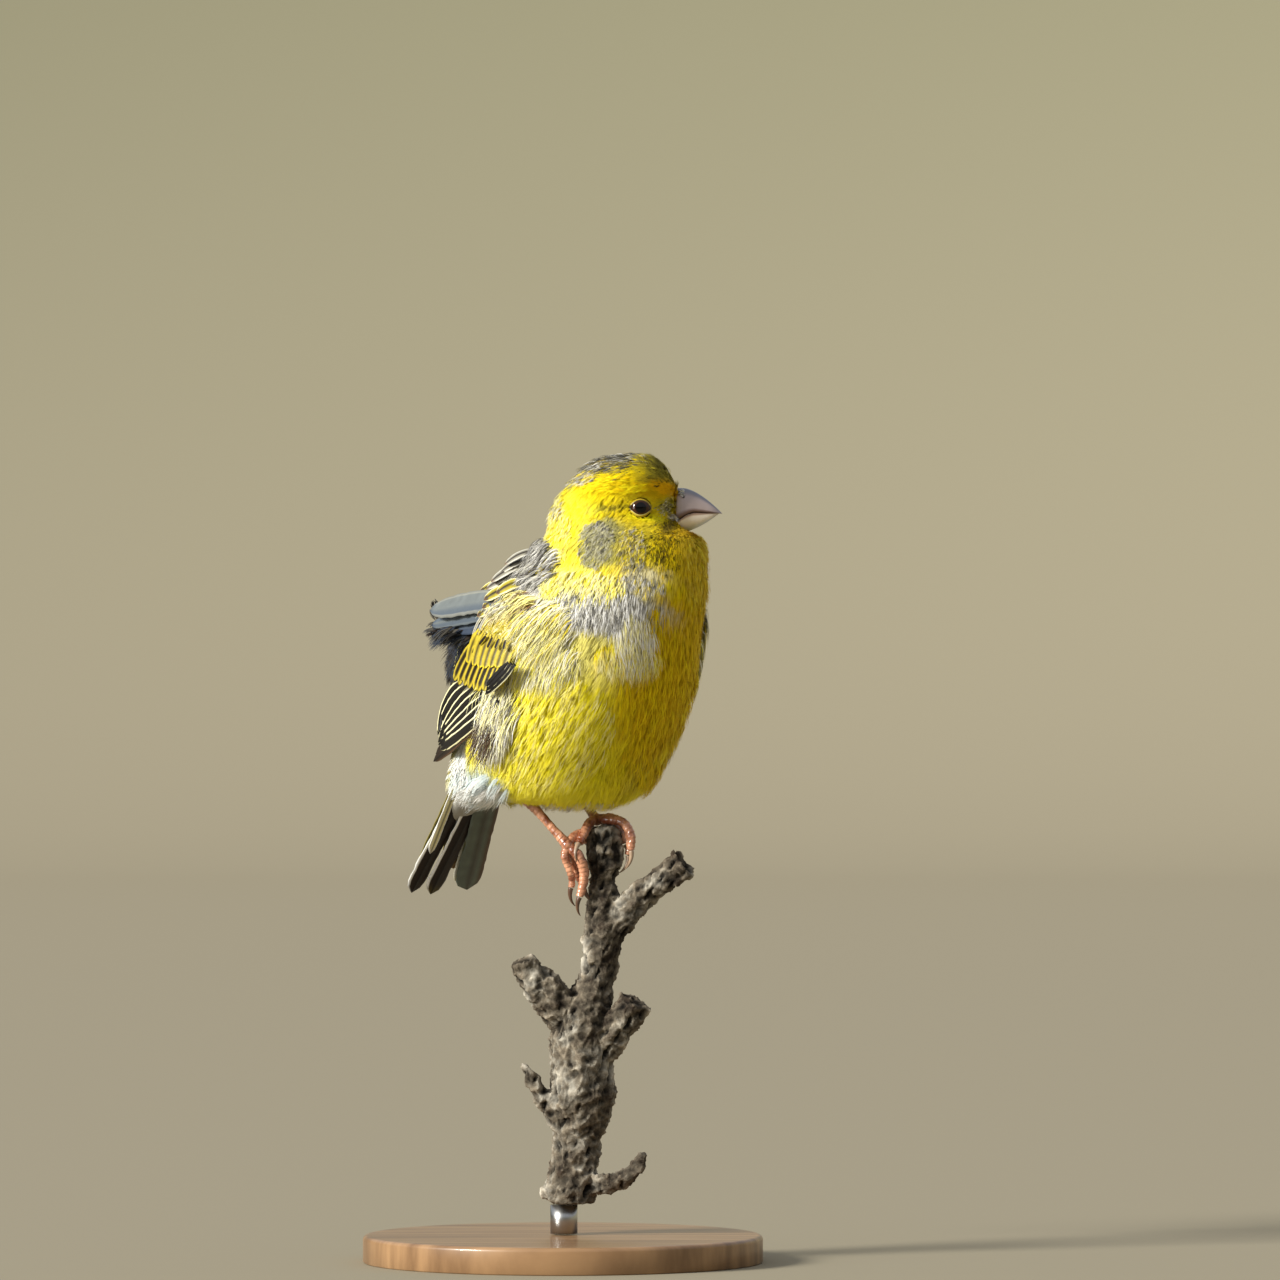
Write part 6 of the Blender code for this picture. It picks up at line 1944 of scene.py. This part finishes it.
def wood_material():
    """Satin varnished pale wood with a fine grain."""
    material = make_material("stand_wood", 0.38, specular=0.4, coat=0.2)
    tree, shader = nodes_of(material)
    spot = tree.nodes.new("ShaderNodeTexCoord")
    stretch = tree.nodes.new("ShaderNodeMapping")
    stretch.inputs["Scale"].default_value = (18.0, 260.0, 40.0)
    grain = tree.nodes.new("ShaderNodeTexNoise")
    grain.inputs["Scale"].default_value = 1.0
    grain.inputs["Detail"].default_value = 5.0
    tree.links.new(spot.outputs["Object"], stretch.inputs["Vector"])
    tree.links.new(stretch.outputs["Vector"], grain.inputs["Vector"])
    ramp = tree.nodes.new("ShaderNodeValToRGB")
    ramp.color_ramp.elements[0].position = 0.35
    ramp.color_ramp.elements[1].position = 0.7
    ramp.color_ramp.elements[0].color = (*linear(118, 88, 60), 1.0)
    ramp.color_ramp.elements[1].color = (*linear(166, 130, 92), 1.0)
    tree.links.new(grain.outputs["Fac"], ramp.inputs["Fac"])
    tree.links.new(ramp.outputs["Color"], shader.inputs["Base Color"])
    return material


def steel_material():
    """Satin steel."""
    material = make_material("stand_steel", 0.32, metallic=1.0)
    _, shader = nodes_of(material)
    shader.inputs["Base Color"].default_value = (*linear(176, 175, 172), 1.0)
    return material


def make_stand():
    """The round base with a softly rounded edge, and the rod."""
    corner = [(BASE_RADIUS - BASE_BEVEL + BASE_BEVEL * math.cos(turn), BASE_HEIGHT - BASE_BEVEL + BASE_BEVEL * math.sin(turn))
              for turn in np.linspace(0.0, math.pi / 2, 8)]
    profile = [(BASE_RADIUS - 0.3, 0.0), (BASE_RADIUS, 0.3)] + corner
    points, triangles = turned_arrays(profile, STAND_SIDES)
    base = new_mesh("base_disc", points, triangles, wood_material())
    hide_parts("stand_base")
    low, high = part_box("stand_rod")
    points, triangles = turned_arrays([(ROD_RADIUS, low[2] / MM), (ROD_RADIUS, high[2] / MM)], 64)
    points = points + np.array((*ROD_SPOT, 0.0))
    rod = new_mesh("rod", points, triangles, steel_material())
    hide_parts("stand_rod")
    for piece in (base, rod):
        flat_ends(piece)
    return base, rod


def flat_ends(piece):
    """Flat shading for level faces, smooth for the rest."""
    for face in piece.data.polygons:
        face.use_smooth = abs(face.normal.z) < 0.9


def sweep_material():
    """Pale warm paper that turns a little greener and darker with height."""
    material = make_material("paper", 0.95, specular=0.05)
    tree, shader = nodes_of(material)
    spot = tree.nodes.new("ShaderNodeTexCoord")
    split = tree.nodes.new("ShaderNodeSeparateXYZ")
    ramp = tree.nodes.new("ShaderNodeValToRGB")
    tree.links.new(spot.outputs["Object"], split.inputs["Vector"])
    tree.links.new(split.outputs["Z"], ramp.inputs["Fac"])
    stops = ramp.color_ramp.elements
    stops[0].position, stops[0].color = 0.0, (*linear(152, 143, 122), 1.0)
    stops[1].position, stops[1].color = 0.6, (*linear(136, 132, 108), 1.0)
    tree.links.new(ramp.outputs["Color"], shader.inputs["Base Color"])
    return material


def make_sweep():
    """A pale floor whose far rim curves up all round, so that no edge shows from any side."""
    rings = [(0.0001, 0.0), (0.5, 0.0), (1.5, 0.0), (3.2, 0.0)]
    rings += [(3.2 + 1.2 * math.sin(turn), 1.2 - 1.2 * math.cos(turn)) for turn in np.linspace(0.1, math.pi / 2, 16)]
    sides = 96
    points = [(radius * 1000 * math.cos(2 * math.pi * side / sides), radius * 1000 * math.sin(2 * math.pi * side / sides),
               height * 1000) for radius, height in rings for side in range(sides)]
    fan = [(0, side + 1, side) for side in range(1, sides - 1)]
    triangles = np.concatenate((grid_triangles(len(rings), sides, True)[:, ::-1], np.array(fan)[:, ::-1]))
    sweep = new_mesh("floor", np.array(points), triangles, sweep_material())
    return sweep


def add_light(name, place, aim, size, power, colour):
    """A soft square light that looks at a point; places are in metres."""
    lamp = bpy.data.lights.new(name, "AREA")
    lamp.shape = "SQUARE"
    lamp.size = size
    lamp.energy = power
    lamp.color = colour
    light = bpy.data.objects.new(name, lamp)
    light.location = place
    light.rotation_euler = (Vector(aim) - Vector(place)).to_track_quat("-Z", "Y").to_euler()
    bpy.context.scene.collection.objects.link(light)
    return light


def set_lights():
    """Soft daylight from the upper left in front, with pale light from all round."""
    world = bpy.data.worlds.new("studio")
    bpy.context.scene.world = world
    world.use_nodes = True
    background = world.node_tree.nodes["Background"]
    background.inputs["Color"].default_value = (0.86, 0.91, 1.0, 1.0)
    background.inputs["Strength"].default_value = 0.6
    lamp = bpy.data.lights.new("key", "SUN")
    lamp.energy = 5.5
    lamp.angle = math.radians(16.0)
    lamp.color = (1.0, 0.975, 0.91)
    light = bpy.data.objects.new("key", lamp)
    light.rotation_euler = Vector(KEY_WAY).to_track_quat("-Z", "Y").to_euler()
    bpy.context.scene.collection.objects.link(light)
    add_light("side", (-1.3, -0.9, 0.3), (0.0, 0.0, 0.14), 0.4, 5.0, (0.9, 0.95, 1.0))


def set_camera():
    """The camera at the photo's angle and framing; places are in metres."""
    lens = bpy.data.cameras.new("camera")
    lens.sensor_width = 36.0
    lens.lens = 255.7
    lens.clip_end = 50.0
    camera = bpy.data.objects.new("camera", lens)
    camera.location = (0.01694, -2.0, 0.13684)
    camera.rotation_euler = (math.pi / 2, 0.0, 0.0)
    bpy.context.scene.collection.objects.link(camera)
    bpy.context.scene.camera = camera
    bpy.context.scene.view_settings.view_transform = "Standard"
    bpy.context.scene.view_settings.look = "None"


def make_materials():
    """The materials that several pieces share."""
    return {
        "plumage": plumage_material(),
        "skin": painted_material("skin", 0.7, specular=0.1, bump=0.4),
        "vane": painted_material("vane", 0.5, specular=0.3, bump=0.35, bump_scale=1600.0),
        "bill": painted_material("bill", 0.28, specular=0.5, coat=0.3, bump=0.2, bump_scale=700.0),
        "eye": eye_material(),
        "lid": painted_material("lid", 0.4, specular=0.5),
        "leg": leg_material(),
        "claw_right": horn_material("claw_dark", (64, 44, 34), (120, 88, 66)),
        "claw_left": horn_material("claw_pale", (120, 96, 76), (176, 150, 124)),
        "bark": bark_material(),
    }


def dress(pieces):
    """Fastens pieces to the model's root body."""
    for piece in pieces:
        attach(piece, "root")


def main():
    """Builds the whole picture."""
    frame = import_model()
    sites = eye_sites()
    materials = make_materials()
    dress([make_skin(sites, materials["skin"])])
    dress(make_coat(sites, materials["plumage"]))
    dress(make_plumes(sites, materials["plumage"]))
    for side, sign in (("right", 1.0), ("left", -1.0)):
        dress(make_wing(side, sign, sites, materials))
        dress(make_eye(side, sites[side], materials))
    dress(make_tail(materials))
    dress(make_bill(materials["bill"]))
    dress(make_legs(materials["leg"]))
    dress(make_claws(materials))
    dress(make_perch(frame, materials["bark"]))
    base, rod = make_stand()
    dress([base])
    dress([rod])
    make_sweep()
    set_lights()
    set_camera()


main()
